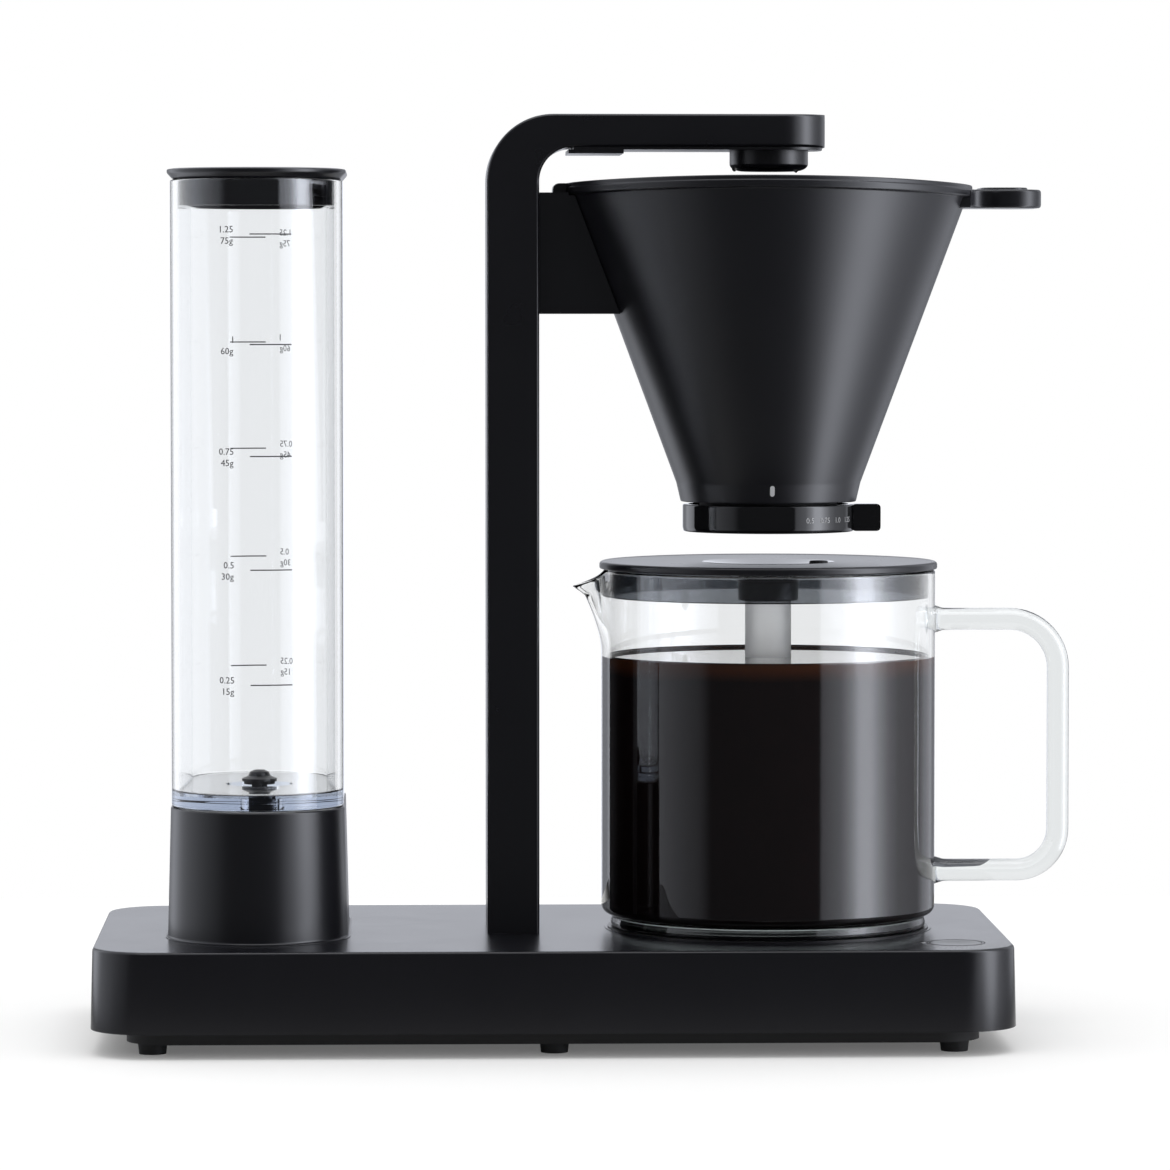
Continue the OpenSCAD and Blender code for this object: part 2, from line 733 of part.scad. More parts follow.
module hose_clamps() color("#a9abae") {
    translate([tank_x, 0, deck_z + 1]) hose_clamp(feed_od);
    for (x = [valve_x - 7, valve_x + check_body_l + 3, inlet_end_x - 5])
        translate([x, -heater_r, hose_z]) rotate([0, 90, 0]) hose_clamp(feed_od);
    translate([brew_x - heater_leg - 13, heater_r, hose_z]) rotate([0, 90, 0]) hose_clamp(riser_od);
}

// -------------------------------------------------- electrics and controls

board_z = floor_z + standoff_h;

module control_board() color("#2f6b3a")
    difference() {
        translate([board_x - board_l / 2, board_y - board_w / 2, board_z]) cube([board_l, board_w, board_t]);
        for (sx = [-1, 1], sy = [-1, 1])
            translate([board_x + sx * (board_l / 2 - 4), board_y + sy * (board_w / 2 - 4), board_z - 1])
                cylinder(d = stake_d + 2 * slip, h = board_t + 2);
    }

module board_parts() color("#2b2b30")
    translate([board_x, board_y, board_z + board_t]) {
        translate([-17, -14, 0]) cube([16, 13, 13]);
        translate([-17, 4, 0]) cube([12, 10, 11]);
        translate([8, -14, 0]) cube([11, 9, 8]);
        translate([12, 8, 0]) cylinder(d = 9, h = 13);
        translate([2, 11, 0]) cylinder(d = 6, h = 9);
        translate([0, 0, 0]) cube([5, 5, 2]);
    }

module terminal_block() color("#e9e5d8")
    difference() {
        translate([inlet_x - terminal_w / 2, base_d / 2 - cover_inset - cover_wall - 19, floor_z])
            cube([terminal_w, 12, 11]);
        for (i = [-1 : 1])
            translate([inlet_x + i * 8, base_d / 2 - cover_inset - cover_wall - 20, floor_z + 5.5])
                rotate([-90, 0, 0]) cylinder(d = 4, h = 14);
    }

// Bushing in the rear wall: outer flange, neck through the wall, inner collar
module cord_inlet() color("#121214")
    translate([inlet_x, base_d / 2, inlet_z])
        rotate([-90, 0, 0])
            difference() {
                union() {
                    translate([0, 0, slip]) cylinder(d = inlet_neck_d + 3, h = 1.4);
                    translate([0, 0, -housing_wall - 4]) {
                        cylinder(d = inlet_neck_d - slip, h = housing_wall + 5);
                        cylinder(d = inlet_neck_d + 3, h = 2.6);
                    }
                }
                translate([0, 0, -housing_wall - 5]) cylinder(d = inlet_d, h = housing_wall + 8);
            }

module switch_board() color("#2f6b3a") {
    difference() {
        translate([button_x - 16, button_y - 10, switch_board_z]) cube([32, 20, board_t]);
        switch_posts()
            translate([0, 0, switch_board_z - 1]) cylinder(d = stake_d + 2 * slip, h = board_t + 2);
    }
    translate([button_x - 3, button_y - 3, switch_board_z + board_t - eps]) cube([6, 6, 3]);
    translate([light_x - 1.5, button_y - 1, switch_board_z + board_t - eps]) cube([3, 2, 1]);
}

module power_button() color("#19191b")
    translate([button_x, button_y, 0])
        difference() {
            union() {
                translate([0, 0, deck_under - seat - 1.4])
                    cylinder(d = button_d, h = deck_z - deck_under + seat + 1.4);
                translate([0, 0, deck_under - seat - 1.4]) cylinder(d = button_d + 2.2, h = 1.4);
                translate([0, 0, switch_board_z + board_t + 3 + button_travel + slip])
                    cylinder(d = 5, h = 5);
            }
            translate([0, 0, deck_under - seat - 2.4])
                difference() {
                    cylinder(d = button_d - 3, h = deck_z - deck_under + seat);
                    cylinder(d = 5, h = housing_wall + 3);
                }
            translate([0, 0, deck_z])
                rotate_extrude()
                    polygon([[0, -0.36], [3, -0.31], [5.6, -0.18], [8, 0], [8, 1], [0, 1]]);
        }

module button_spring() color("#b0b2b6")
    translate([button_x, button_y, switch_board_z + board_t])
        coil_spring(5.4, 0.7, deck_z - 2.4 - switch_board_z - board_t - 2 * eps, 4);

module light_guide() color("#dfe6ea")
    translate([light_x, button_y, 0]) {
        translate([0, 0, switch_board_z + board_t + 1 + seat])
            cylinder(d = 2, h = deck_z - switch_board_z - board_t - 1 - seat);
        translate([0, 0, deck_under - 1.2]) cylinder(d = 2.4, h = 1.2);
    }

// ---------------------------------------------------------------- the tank

socket_wall = 2.4;
socket_d = tank_d + socket_w - tank_w;
spigot_d = 22;
spigot_l = 12;
well_floor_z = socket_top - 19;
sump_d = 26;
sump_z = tank_z + 2.2;
valve_hole_d = 7;
washer_t = 1;
washer_z = sump_z + valve_lift + 0.05;
cap_z = washer_z + washer_t;
stem_low_z = tank_z - 8.3;
seal_z = tank_z - 6;
seal_d = 2;

module tank_socket() color("#202023")
    translate([tank_x, 0, 0]) {
        boss_h = socket_h - socket_wall;
        difference() {
            translate([0, 0, deck_z]) flared_stadium(socket_w, socket_d, socket_flare, socket_h);
            translate([0, 0, deck_z - eps])
                flared_stadium(socket_w - 2 * socket_wall, socket_d - 2 * socket_wall, socket_flare, boss_h);
            translate([0, 0, socket_top - socket_wall - 1]) cylinder(d = spigot_d + 1, h = socket_wall + 2);
        }
        // screw bosses, down to the base
        for (sx = [-1, 1], sy = [-1, 1])
            translate([sx * socket_screw_x, sy * socket_screw_y, deck_z])
                difference() {
                    cylinder(d = boss_d, h = boss_h + eps);
                    translate([0, 0, -1]) cylinder(d = screw_d + slip, h = 14);
                }
        // well for the tank's spigot, with its outlet barb and the pin that lifts the valve
        translate([0, 0, well_floor_z - 2])
            tube(spigot_d + 5, spigot_d + 1, socket_top - well_floor_z + 2 - eps);
        difference() {
            union() {
                translate([0, 0, well_floor_z - 2]) cylinder(d = spigot_d + 3, h = 2);
                translate([0, 0, feed_top - 8]) cylinder(d = inlet_barb_d, h = well_floor_z - feed_top + 7);
                translate([0, 0, feed_top + seat]) cylinder(d = feed_od, h = well_floor_z - feed_top - 1);
            }
            translate([0, 0, feed_top - 9]) cylinder(d = 4.4, h = well_floor_z - feed_top + 11);
        }
        for (a = [0, 90])
            rotate([0, 0, a]) translate([-6, -0.8, well_floor_z - eps]) cube([12, 1.6, 2]);
        translate([0, 0, well_floor_z]) cylinder(d = 4, h = stem_low_z - seat - well_floor_z);
    }

module socket_screws() color("#8a8c90")
    for (sx = [-1, 1], sy = [-1, 1])
        translate([tank_x + sx * socket_screw_x, sy * socket_screw_y, deck_under]) {
            translate([0, 0, -2]) cylinder(d = head_d, h = 2);
            cylinder(d = screw_d, h = 12);
        }

module tank_body() color([0.85, 0.9, 0.94, 0.35])
    translate([tank_x, 0, 0])
        difference() {
            union() {
                translate([0, 0, tank_z]) linear_extrude(tank_h) stadium(tank_w, tank_d);
                translate([0, 0, tank_z - spigot_l]) cylinder(d = spigot_d, h = spigot_l + 1);
            }
            translate([0, 0, tank_z + tank_floor])
                linear_extrude(tank_h) stadium(tank_w - 2 * tank_wall, tank_d - 2 * tank_wall);
            translate([0, 0, sump_z]) cylinder(d = sump_d, h = tank_floor);
            translate([0, 0, tank_z - spigot_l - 1]) cylinder(d = spigot_d - 6, h = spigot_l + 1);
            translate([0, 0, tank_z - 1]) cylinder(d = valve_hole_d, h = tank_floor);
            translate([0, 0, seal_z])
                rotate_extrude()
                    translate([spigot_d / 2 + 0.55 - seal_d / 2, 0]) circle(d = seal_d, $fn = 32);
        }

module spigot_seal() color("#2a2a2a")
    translate([tank_x, 0, seal_z])
        rotate_extrude()
            translate([spigot_d / 2 + 0.45 - seal_d / 2, 0]) circle(d = seal_d - 0.2, $fn = 32);

// Umbrella valve: domed cap with two finger lobes on a cross-shaped stem
module tank_valve() color("#232326")
    translate([tank_x, 0, 0]) {
        translate([0, 0, cap_z])
            rotate_extrude()
                polygon([
                    [0, 0], [valve_cap_d / 2, 0], [valve_cap_d / 2, 1.1],
                    [4.4, 2.1], [3.6, 3.6], [2, 4.3], [0, 4.4]
                ]);
        for (a = [0, 90])
            rotate([0, 0, a])
                translate([-valve_hole_d / 2 + 0.5, -0.7, stem_low_z])
                    cube([valve_hole_d - 1, 1.4, cap_z - stem_low_z + eps]);
        translate([0, 0, stem_low_z]) cylinder(d = 12, h = 1.4);
    }

module valve_washer() color("#3c3c3e")
    translate([tank_x, 0, washer_z])
        difference() {
            cylinder(d = 12, h = washer_t);
            for (a = [0, 90])
                rotate([0, 0, a])
                    translate([-valve_hole_d / 2 + 0.5 - slip / 2, -0.7 - slip / 2, -1])
                        cube([valve_hole_d - 1 + slip, 1.4 + slip, washer_t + 2]);
        }

module valve_spring() color("#b0b2b6")
    translate([tank_x, 0, stem_low_z + 1.4 + eps])
        coil_spring(4.8, 0.7, tank_z - stem_low_z - 1.4 - 2 * eps, 4);

module tank_lid() color("#1b1b1d")
    translate([tank_x, 0, tank_rim_z + 0.2]) {
        lid_w = tank_w + 2 * tank_lid_over;
        lid_l = tank_d + 2 * tank_lid_over;
        skirt_w = tank_w - 2 * tank_wall - 2 * seat;
        skirt_l = tank_d - 2 * tank_wall - 2 * seat;
        linear_extrude(tank_lid_t - 0.8) stadium(lid_w, lid_l);
        translate([0, 0, tank_lid_t - 0.8 - eps])
            linear_extrude(0.8 + eps) stadium(lid_w - 1.6, lid_l - 1.6);
        translate([0, 0, -tank_skirt_h])
            linear_extrude(tank_skirt_h + eps)
                difference() {
                    stadium(skirt_w, skirt_l);
                    stadium(skirt_w - 4, skirt_l - 4);
                }
        // finger lip on the right
        translate([lid_w / 2 - 0.9, -9, -1.2]) cube([0.9, 18, 1.2 + eps]);
    }

// --------------------------------------------------------- column and arm

// Rounded plan shape of column and arm together, inset by t
module arm_plan(t) {
    r = arm_end_r - t;
    half = column_d / 2 - t;
    x0 = column_x0 + t;
    x1 = arm_end_x - t;
    translate([x0, -half]) square([x1 - r - x0, 2 * half]);
    translate([x1 - r - 1, -half + r]) square([r + 1, 2 * (half - r)]);
    for (sy = [-1, 1])
        translate([x1 - r, sy * (half - r)]) circle(r);
}

// Side view of column and arm, inset by t; X is along the arm, Y is up
module arm_side(t, foot) {
    ro = bend_outer_r - t;
    ri = bend_inner_r + t;
    x0 = column_x0 + t;
    x1 = column_x1 - t;
    top = machine_h - t;
    under = arm_under + t;
    difference() {
        union() {
            translate([x0, foot]) square([x1 - x0 + ri, top - ro - foot]);
            translate([x0 + ro, foot]) square([arm_end_x - x0 - ro + 1, top - foot]);
            translate([x0 + ro, top - ro]) circle(ro);
        }
        translate([x1, foot - 1]) square([machine_h, under - ri - foot + 1]);
        translate([x1 + ri, foot - 1]) square([machine_h, under - foot + 1]);
        translate([x1 + ri, under - ri]) circle(ri);
    }
}

module upright(t, foot) {
    intersection() {
        rotate([90, 0, 0]) linear_extrude(column_d - 2 * t, center = true) arm_side(t, foot);
        translate([0, 0, foot - 1]) linear_extrude(machine_h) arm_plan(t);
    }
}

arm_screw_y = column_d / 2 - 7.5;
arm_head_d = 5;
ARM_SCREWS = [
    for (x = [column_x1 + bend_inner_r + pad_l / 2, brew_x - spray_d / 2 - 10], sy = [-1, 1])
        [x, sy * arm_screw_y]
];
arm_open_x = column_x1 + bend_inner_r + 2;
arm_open_l = arm_end_x - column_wall - 2 - arm_open_x;

module column() color("#1e1e21") {
    difference() {
        union() {
            difference() {
                upright(0, deck_z);
                upright(column_wall, deck_z + foot_block_h);
                // the arm is open from below, under its cover
                intersection() {
                    translate([arm_open_x, -column_d / 2, arm_under - 1])
                        cube([arm_open_l, column_d, column_wall + 2]);
                    translate([0, 0, arm_under - 1]) linear_extrude(column_wall + 2) arm_plan(column_wall);
                }
            }
            for (p = ARM_SCREWS)
                translate([p.x, p.y, arm_under])
                    cylinder(d = boss_d - 1, h = arm_t - column_wall + eps);
        }
        for (p = ARM_SCREWS)
            translate([p.x, p.y, arm_under - 1]) cylinder(d = screw_d + slip, h = arm_t - 2);
        translate([column_x, 0, deck_z - 1]) cylinder(d = riser_od + 2, h = foot_block_h + 2);
        for (sy = [-1, 1])
            translate([column_x, sy * bolt_y, deck_z - 1]) cylinder(d = bolt_d + slip, h = foot_block_h - 3);
        for (z = BRACKET_SCREW_Z)
            translate([column_x1 - column_wall - 1, 0, z])
                rotate([0, 90, 0]) cylinder(d = screw_d + 2 * slip, h = column_wall + 2);
    }
}

module column_clamp() color("#9a9ca0")
    difference() {
        translate([column_x - clamp_plate_w / 2, -column_d / 2, deck_under - clamp_plate_t])
            cube([clamp_plate_w, column_d, clamp_plate_t]);
        translate([column_x, 0, deck_under - clamp_plate_t - 1])
            cylinder(d = deck_hole_d, h = clamp_plate_t + 2);
        for (sy = [-1, 1])
            translate([column_x, sy * bolt_y, deck_under - clamp_plate_t - 1])
                cylinder(d = bolt_d + 2 * slip, h = clamp_plate_t + 2);
    }

module column_bolts() color("#7d7f83")
    for (sy = [-1, 1])
        translate([column_x, sy * bolt_y, deck_under - clamp_plate_t]) {
            translate([0, 0, -bolt_head_h])
                difference() {
                    cylinder(d = bolt_head_d, h = bolt_head_h);
                    translate([0, 0, -1]) cylinder(d = 4.6, h = 3.4, $fn = 6);
                }
            cylinder(d = bolt_d, h = clamp_plate_t + housing_wall + 14);
        }

module arm_cover() color("#1a1a1c") {
    x0 = column_x1 + bend_inner_r - 2;
    difference() {
        union() {
            translate([0, 0, arm_cover_z])
                linear_extrude(arm_cover_t)
                    intersection() {
                        arm_plan(1.2);
                        translate([x0 + 2, -column_d / 2]) square([arm_end_x - x0, column_d]);
                    }
            translate([x0, -column_d / 2 + 1.2, arm_cover_z - pad_t])
                cube([pad_l, column_d - 2.4, pad_t + eps]);
        }
        for (p = ARM_SCREWS) {
            low = p.x < x0 + pad_l ? arm_cover_z - pad_t : arm_cover_z;
            translate([p.x, p.y, low - 1]) cylinder(d = screw_d + 2 * slip, h = 5);
            translate([p.x, p.y, low - eps])
                cylinder(
                    d1 = arm_head_d + 2 * slip, d2 = screw_d + 2 * slip, h = (arm_head_d - screw_d) / 2
                );
        }
        translate([brew_x, 0, arm_cover_z - 1]) cylinder(d = neck_d + 2 * slip, h = 4);
    }
}

module arm_screws() color("#8a8c90")
    for (p = ARM_SCREWS)
        translate([p.x, p.y, p.x < column_x1 + bend_inner_r + pad_l - 2 ? arm_cover_z - pad_t : arm_cover_z])
            countersunk_screw(screw_d, arm_head_d, 9);

neck_d = 12;
spray_nut_h = 3;
chamber_d = spray_d - 8.6;
spray_round = 4;

module spray_head() color("#19191b")
    translate([brew_x, 0, spray_z])
        difference() {
            union() {
                rotate_extrude()
                    intersection() {
                        union() {
                            square([spray_d / 2 - spray_round, spray_h]);
                            translate([0, spray_round]) square([spray_d / 2, spray_h - spray_round]);
                            translate([spray_d / 2 - spray_round, spray_round]) circle(spray_round);
                        }
                        square([spray_d, spray_h]);
                    }
                cylinder(d = neck_d, h = spray_h + arm_cover_t + spray_nut_h + slip);
            }
            translate([0, 0, -1]) cylinder(d = chamber_d, h = spray_h - 1.5);
            translate([0, 0, -1]) cylinder(d = 6 + slip, h = spray_h + 8);
        }

module spray_plate() color("#2b2b2e")
    translate([brew_x, 0, spray_z + 0.4])
        difference() {
            cylinder(d = chamber_d - slip, h = 1.4);
            for (a = [0 : 45 : 315])
                rotate([0, 0, a]) translate([chamber_d / 2 - 3, 0, -1]) cylinder(d = 1.8, h = 4);
            for (a = [0 : 90 : 270])
                rotate([0, 0, a + 22.5]) translate([chamber_d / 4 - 1, 0, -1]) cylinder(d = 1.8, h = 4);
        }

module spray_nut() color("#2b2b2e")
    translate([brew_x, 0, arm_under])
        difference() {
            cylinder(d = 18, h = spray_nut_h, $fn = 6);
            translate([0, 0, -1]) cylinder(d = neck_d + slip, h = 5);
        }

module spray_elbow() color("#dad7d0")
    difference() {
        neck_top = arm_under + spray_nut_h + slip;
        union() {
            translate([brew_x, 0, arm_cover_z - 1]) cylinder(d = 6, h = neck_top - arm_cover_z + 2);
            translate([brew_x, 0, neck_top + slip])
                cylinder(d = 9, h = 2 * (arm_hose_z - neck_top - slip));
            translate([brew_x - 18, 0, arm_hose_z]) rotate([0, 90, 0]) cylinder(d = outlet_barb_d, h = 18);
        }
        translate([brew_x, 0, arm_cover_z - 2]) cylinder(d = 3, h = arm_hose_z - arm_cover_z + 2);
        translate([brew_x - 19, 0, arm_hose_z]) rotate([0, 90, 0]) cylinder(d = 3, h = 19);
    }

// ------------------------------------------------------- basket and ring

skirt_z = basket_z + skirt_h;
cone_top_z = rim_z - rim_h;
wall_slope = (cone_top_d - cone_low_d) / 2 / (cone_top_z - skirt_z);
wall_across = basket_wall * sqrt(1 + wall_slope * wall_slope);
floor_r = skirt_d / 2 - wall_across;
tongue_x = rim_d / 2 + 4.4;
tongue_w = 16;
tongue_wing = 3;
wing_t = 2.7;
wing_z = bracket_top - 6;
bracket_low = bracket_top - bracket_h;
BRACKET_SCREW_Z = [bracket_low + bracket_h * 0.25, bracket_low + bracket_h * 0.62];
port_angle = 150;

// Outside of the cone, as radius and height
CONE_OUTLINE = [
    [skirt_d / 2, basket_z],
    [cone_low_d / 2, skirt_z],
    [cone_top_d / 2, cone_top_z],
    [cone_top_d / 2, rim_z + 1]
];

// The rim follows a large arc in side view; its terms in x squared and x
rim_bow = (handle_dip + tongue_dip) / 2 / pow(rim_d / 2, 2);
rim_lean = (handle_dip - tongue_dip) / rim_d;

// Point on the side of +Y at distance a from the origin and b from point q
function meet(a, b, q) =
    let (d = norm(q), u = (a * a - b * b + d * d) / (2 * d), v = sqrt(a * a - u * u))
    [q[0] * u - q[1] * v, q[1] * u + q[0] * v] / d;

// Outer radius of the cone at height z
function cone_r(z) = cone_low_d / 2 + wall_slope * (z - skirt_z);

module basket_bracket() color("#19191b")
    difference() {
        reach = brew_x - cone_r(bracket_low) + 6 - column_x1;
        translate([column_x1, -bracket_w / 2, bracket_low]) cube([reach, bracket_w, bracket_h]);
        // seat for the cone
        translate([brew_x, 0, 0])
            rotate_extrude()
                polygon([
                    [0, bracket_low - 1],
                    [cone_r(bracket_low - 1) + bracket_gap, bracket_low - 1],
                    [cone_r(bracket_top + 1) + bracket_gap, bracket_top + 1],
                    [0, bracket_top + 1]
                ]);
        // shallow recess under the rim band, which bows down here
        translate([brew_x, 0, rim_z - rim_h - tongue_dip - bracket_gap])
            cylinder(d = rim_d + 2 * bracket_gap, h = rim_h + tongue_dip);
        // T-slot for the basket's tongue
        slot_x0 = brew_x - tongue_x - seat;
        translate([slot_x0, -tongue_w / 2 - seat, wing_z - seat]) cube([20, tongue_w + 2 * seat, 20]);
        translate([slot_x0, -tongue_w / 2 - tongue_wing - seat, wing_z - seat])
            cube([20, tongue_w + 2 * tongue_wing + 2 * seat, wing_t + 2 * seat]);
        for (z = BRACKET_SCREW_Z)
            translate([column_x1 - 1, 0, z]) rotate([0, 90, 0]) cylinder(d = screw_d + slip, h = 9);
    }

module bracket_screws() color("#8a8c90")
    for (z = BRACKET_SCREW_Z)
        translate([column_x1 - column_wall, 0, z])
            rotate([0, 90, 0]) {
                translate([0, 0, -1.8]) cylinder(d = head_d, h = 1.8);
                cylinder(d = screw_d, h = column_wall + 7);
            }

// Kidney-shaped port round the axis, starting at angle a
module kidney(a, h) {
    rotate([0, 0, a]) rotate_extrude(angle = 60) translate([8, 0]) square([11, h]);
}

// Half space under the rim's arc, lowered by drop
module under_rim(drop) {
    bow_r = 1 / (2 * rim_bow);
    translate([-rim_lean * bow_r, 0, rim_z + rim_lean * rim_lean * bow_r / 2 - drop - bow_r])
        rotate([90, 0, 0]) cylinder(r = bow_r, h = rim_d + 2, center = true, $fn = 720);
}

// Outside of the basket: the cone, and a rim band that bows down to both sides
module basket_form(grow = 0) {
    intersection() {
        rotate_extrude()
            polygon(concat([[0, basket_z]], [for (p = CONE_OUTLINE) p + [grow, 0]], [[0, rim_z + 1]]));
        under_rim(0);
    }
    difference() {
        intersection() {
            translate([0, 0, skirt_z]) cylinder(d = rim_d + 2 * grow, h = rim_z + 1 - skirt_z);
            under_rim(0);
        }
        under_rim(rim_h);
    }
}

module filter_basket() color("#1b1b1e") {
    in_top_r = cone_top_d / 2 - wall_across;
    translate([brew_x, 0, 0]) {
        difference() {
            basket_form();
            rotate_extrude()
                polygon([
                    [0, basket_z + basket_wall],
                    [floor_r, basket_z + basket_wall],
                    [cone_low_d / 2 - wall_across, skirt_z],
                    [in_top_r, cone_top_z],
                    [in_top_r + wall_slope * (rim_h + 1), rim_z + 1],
                    [0, rim_z + 1]
                ]);
            translate([0, 0, basket_z - 1]) kidney(port_angle, basket_wall + 2);
        }
        // drainage ribs
        for (i = [0 : rib_count - 1])
            rotate([0, 0, i * 360 / rib_count])
                rotate_extrude(angle = 1.6)
                    polygon([
                        [floor_r + 0.4, basket_z + basket_wall],
                        [cone_low_d / 2 - wall_across + 0.4, skirt_z],
                        [in_top_r - 3.6, cone_top_z - 10],
                        [in_top_r - 5.6, cone_top_z - 10],
                        [cone_low_d / 2 - wall_across - 1.4, skirt_z],
                        [floor_r - 1.4, basket_z + basket_wall]
                    ]);
        // hub pin of the flow ring, grooved for its clip
        difference() {
            translate([0, 0, clip_z - 1.4]) cylinder(d = hub_d, h = basket_z - clip_z + 1.4 + eps);
            translate([0, 0, clip_z]) tube(hub_d + 2, hub_d - 1.6, clip_t);
        }
    }
}

// Thumb handle and tongue, moulded on to the outside of the cone
module basket_grip() color("#1b1b1e") {
    handle_z = rim_z - handle_dip - 0.9 - handle_t;
    handle_x = rim_d / 2 + handle_l / 2 + 1.5;
    corner = [handle_x - (handle_l - 1) / 2 + handle_r, handle_w / 2 - handle_r];
    hollow = meet(rim_d / 2 + neck_r, handle_r + neck_r, corner);
    neck_end = hollow + (corner - hollow) * neck_r / norm(corner - hollow);
    tongue_top = rim_z - tongue_dip - 0.2;
    root_r = cone_r(wing_z) - 2;
    translate([brew_x, 0, 0])
        difference() {
            union() {
                // thumb handle with a hollow between it and the rim, and a raised pad
                translate([0, 0, handle_z])
                    linear_extrude(handle_t) {
                        translate([handle_x, 0]) rounded_rect(handle_l - 1, handle_w, handle_r);
                        difference() {
                            polygon([
                                [hollow[0] - 9, -hollow[1]],
                                [hollow[0], -hollow[1]],
                                [hollow[0], -neck_end[1]],
                                [corner[0], -neck_end[1]],
                                [corner[0], neck_end[1]],
                                [hollow[0], neck_end[1]],
                                hollow,
                                [hollow[0] - 9, hollow[1]]
                            ]);
                            for (side = [-1, 1])
                                translate([hollow[0], side * hollow[1]]) circle(neck_r);
                        }
                    }
                translate([handle_x - 2.5, 0, handle_z + handle_t - eps])
                    linear_extrude(0.8) rounded_rect(handle_l - 6, handle_w - 8, handle_r - 4);
                // tongue that slides into the bracket
                translate([-tongue_x, 0, 0])
                    rotate([90, 0, 0])
                        linear_extrude(tongue_w, center = true) {
                            translate([3, wing_z])
                                square([tongue_x - 3 - root_r, tongue_top - wing_z]);
                            translate([0, wing_z]) square([4, tongue_top - 3 - wing_z]);
                            translate([3, tongue_top - 3]) circle(3);
                        }
                translate([-tongue_x, -tongue_w / 2 - tongue_wing, wing_z])
                    cube([tongue_x - root_r, tongue_w + 2 * tongue_wing, wing_t]);
            }
            basket_form(eps);
        }
}

// ------------------------------------------------------------- flow ring

disc_t = 2;
disc_d = 2 * floor_r - 9.8;
disc_top = basket_z - 0.15;
web_t = 2.2;
web_top = disc_top - disc_t;
clip_t = 1.2;
clip_z = web_top - web_t - seat - clip_t;

module flow_ring() color("#0e0e10")
    translate([brew_x, 0, 0])
        difference() {
            union() {
                translate([0, 0, ring_z]) tube(ring_d, ring_d - 4.4, ring_h);
                translate([0, 0, web_top - web_t]) cylinder(d = ring_d - 4, h = web_t);
                translate([ring_d / 2 - 1.6, 0, ring_z])
                    rotate([90, 0, 0])
                        linear_extrude(6, center = true)
                            translate([(lever_l + 1.6) / 2, ring_h / 2])
                                rounded_rect(lever_l + 1.6, ring_h, 2.4);
            }
            translate([0, 0, web_top - web_t - 1]) cylinder(d = hub_d + 2 * ring_fit, h = web_t + 2);
            translate([0, 0, web_top - web_t - 1]) kidney(port_angle + ring_turn, web_t + 2);
        }

module valve_disc() color("#55565a")
    translate([brew_x, 0, web_top])
        difference() {
            cylinder(d = disc_d, h = disc_t);
            translate([0, 0, -1]) cylinder(d = hub_d + 1, h = disc_t + 2);
            translate([0, 0, -1]) kidney(port_angle + ring_turn, disc_t + 2);
        }

module ring_clip() color("#9a9ca0")
    translate([brew_x, 0, clip_z + 0.05])
        difference() {
            cylinder(d = hub_d + 5, h = clip_t - 0.1);
            translate([0, 0, -1]) cylinder(d = hub_d - 1.5, h = clip_t + 2);
            translate([0, -hub_d / 2 + 1, -1]) cube([hub_d, hub_d - 2, clip_t + 2]);
        }

// ---------------------------------------------------------------- carafe

glass_floor = 3;
glass_foot_w = 3;
spout_hi = carafe_h - 1.4;
spout_lo = carafe_h - spout_h;

// Half section of the glass, outside (t = 0) or inside (t = wall)
module glass_half(t, low, top, heel) {
    r = carafe_d / 2 - t;
    translate([0, low]) square([r - heel, top - low]);
    translate([0, low + heel]) square([r, top - low - heel]);
    translate([r - heel, low + heel]) intersection() {
        circle(heel);
        translate([0, -heel]) square([heel, heel]);
    }
}

// Body of the spout, drawn in by t
module spout_body(t) {
    r = carafe_d / 2;
    hull() {
        translate([-r + 3, 0, spout_lo + 2 * t]) sphere(2, $fn = 24);
        for (sy = [-1, 1])
            translate([-r + 3, sy * (12 - t), spout_hi - 2]) sphere(2, $fn = 24);
        translate([-spout_reach + 2.4 + t, 0, carafe_h - spout_drop - 2.4 + t])
            sphere(max(2.4 - t, 0.4), $fn = 24);
    }
}

module carafe_glass() color([0.9, 0.93, 0.95, 0.3])
    translate([brew_x, 0, plate_z])
        difference() {
            union() {
                rotate_extrude() {
                    glass_half(0, glass_foot_h, carafe_h, heel_r);
                    translate([glass_foot_d / 2 - glass_foot_w, 0]) square([glass_foot_w, glass_foot_h + 3]);
                }
                spout_body(0);
            }
            rotate_extrude()
                glass_half(glass_wall, glass_foot_h + glass_floor, carafe_h + 1, heel_r - glass_wall);
            intersection() {
                spout_body(glass_wall * 0.7);
                translate([-2 * carafe_d, -carafe_d, 0]) cube([2 * carafe_d, 2 * carafe_d, carafe_h]);
            }
            // the pouring edge dips from the rim to the spout's tip
            translate([-carafe_d / 2, 0, carafe_h - 1.6])
                rotate([0, -atan((spout_drop - 1.6) / (spout_reach - carafe_d / 2)), 0])
                    translate([-30, -20, 0]) cube([30, 40, 20]);
        }

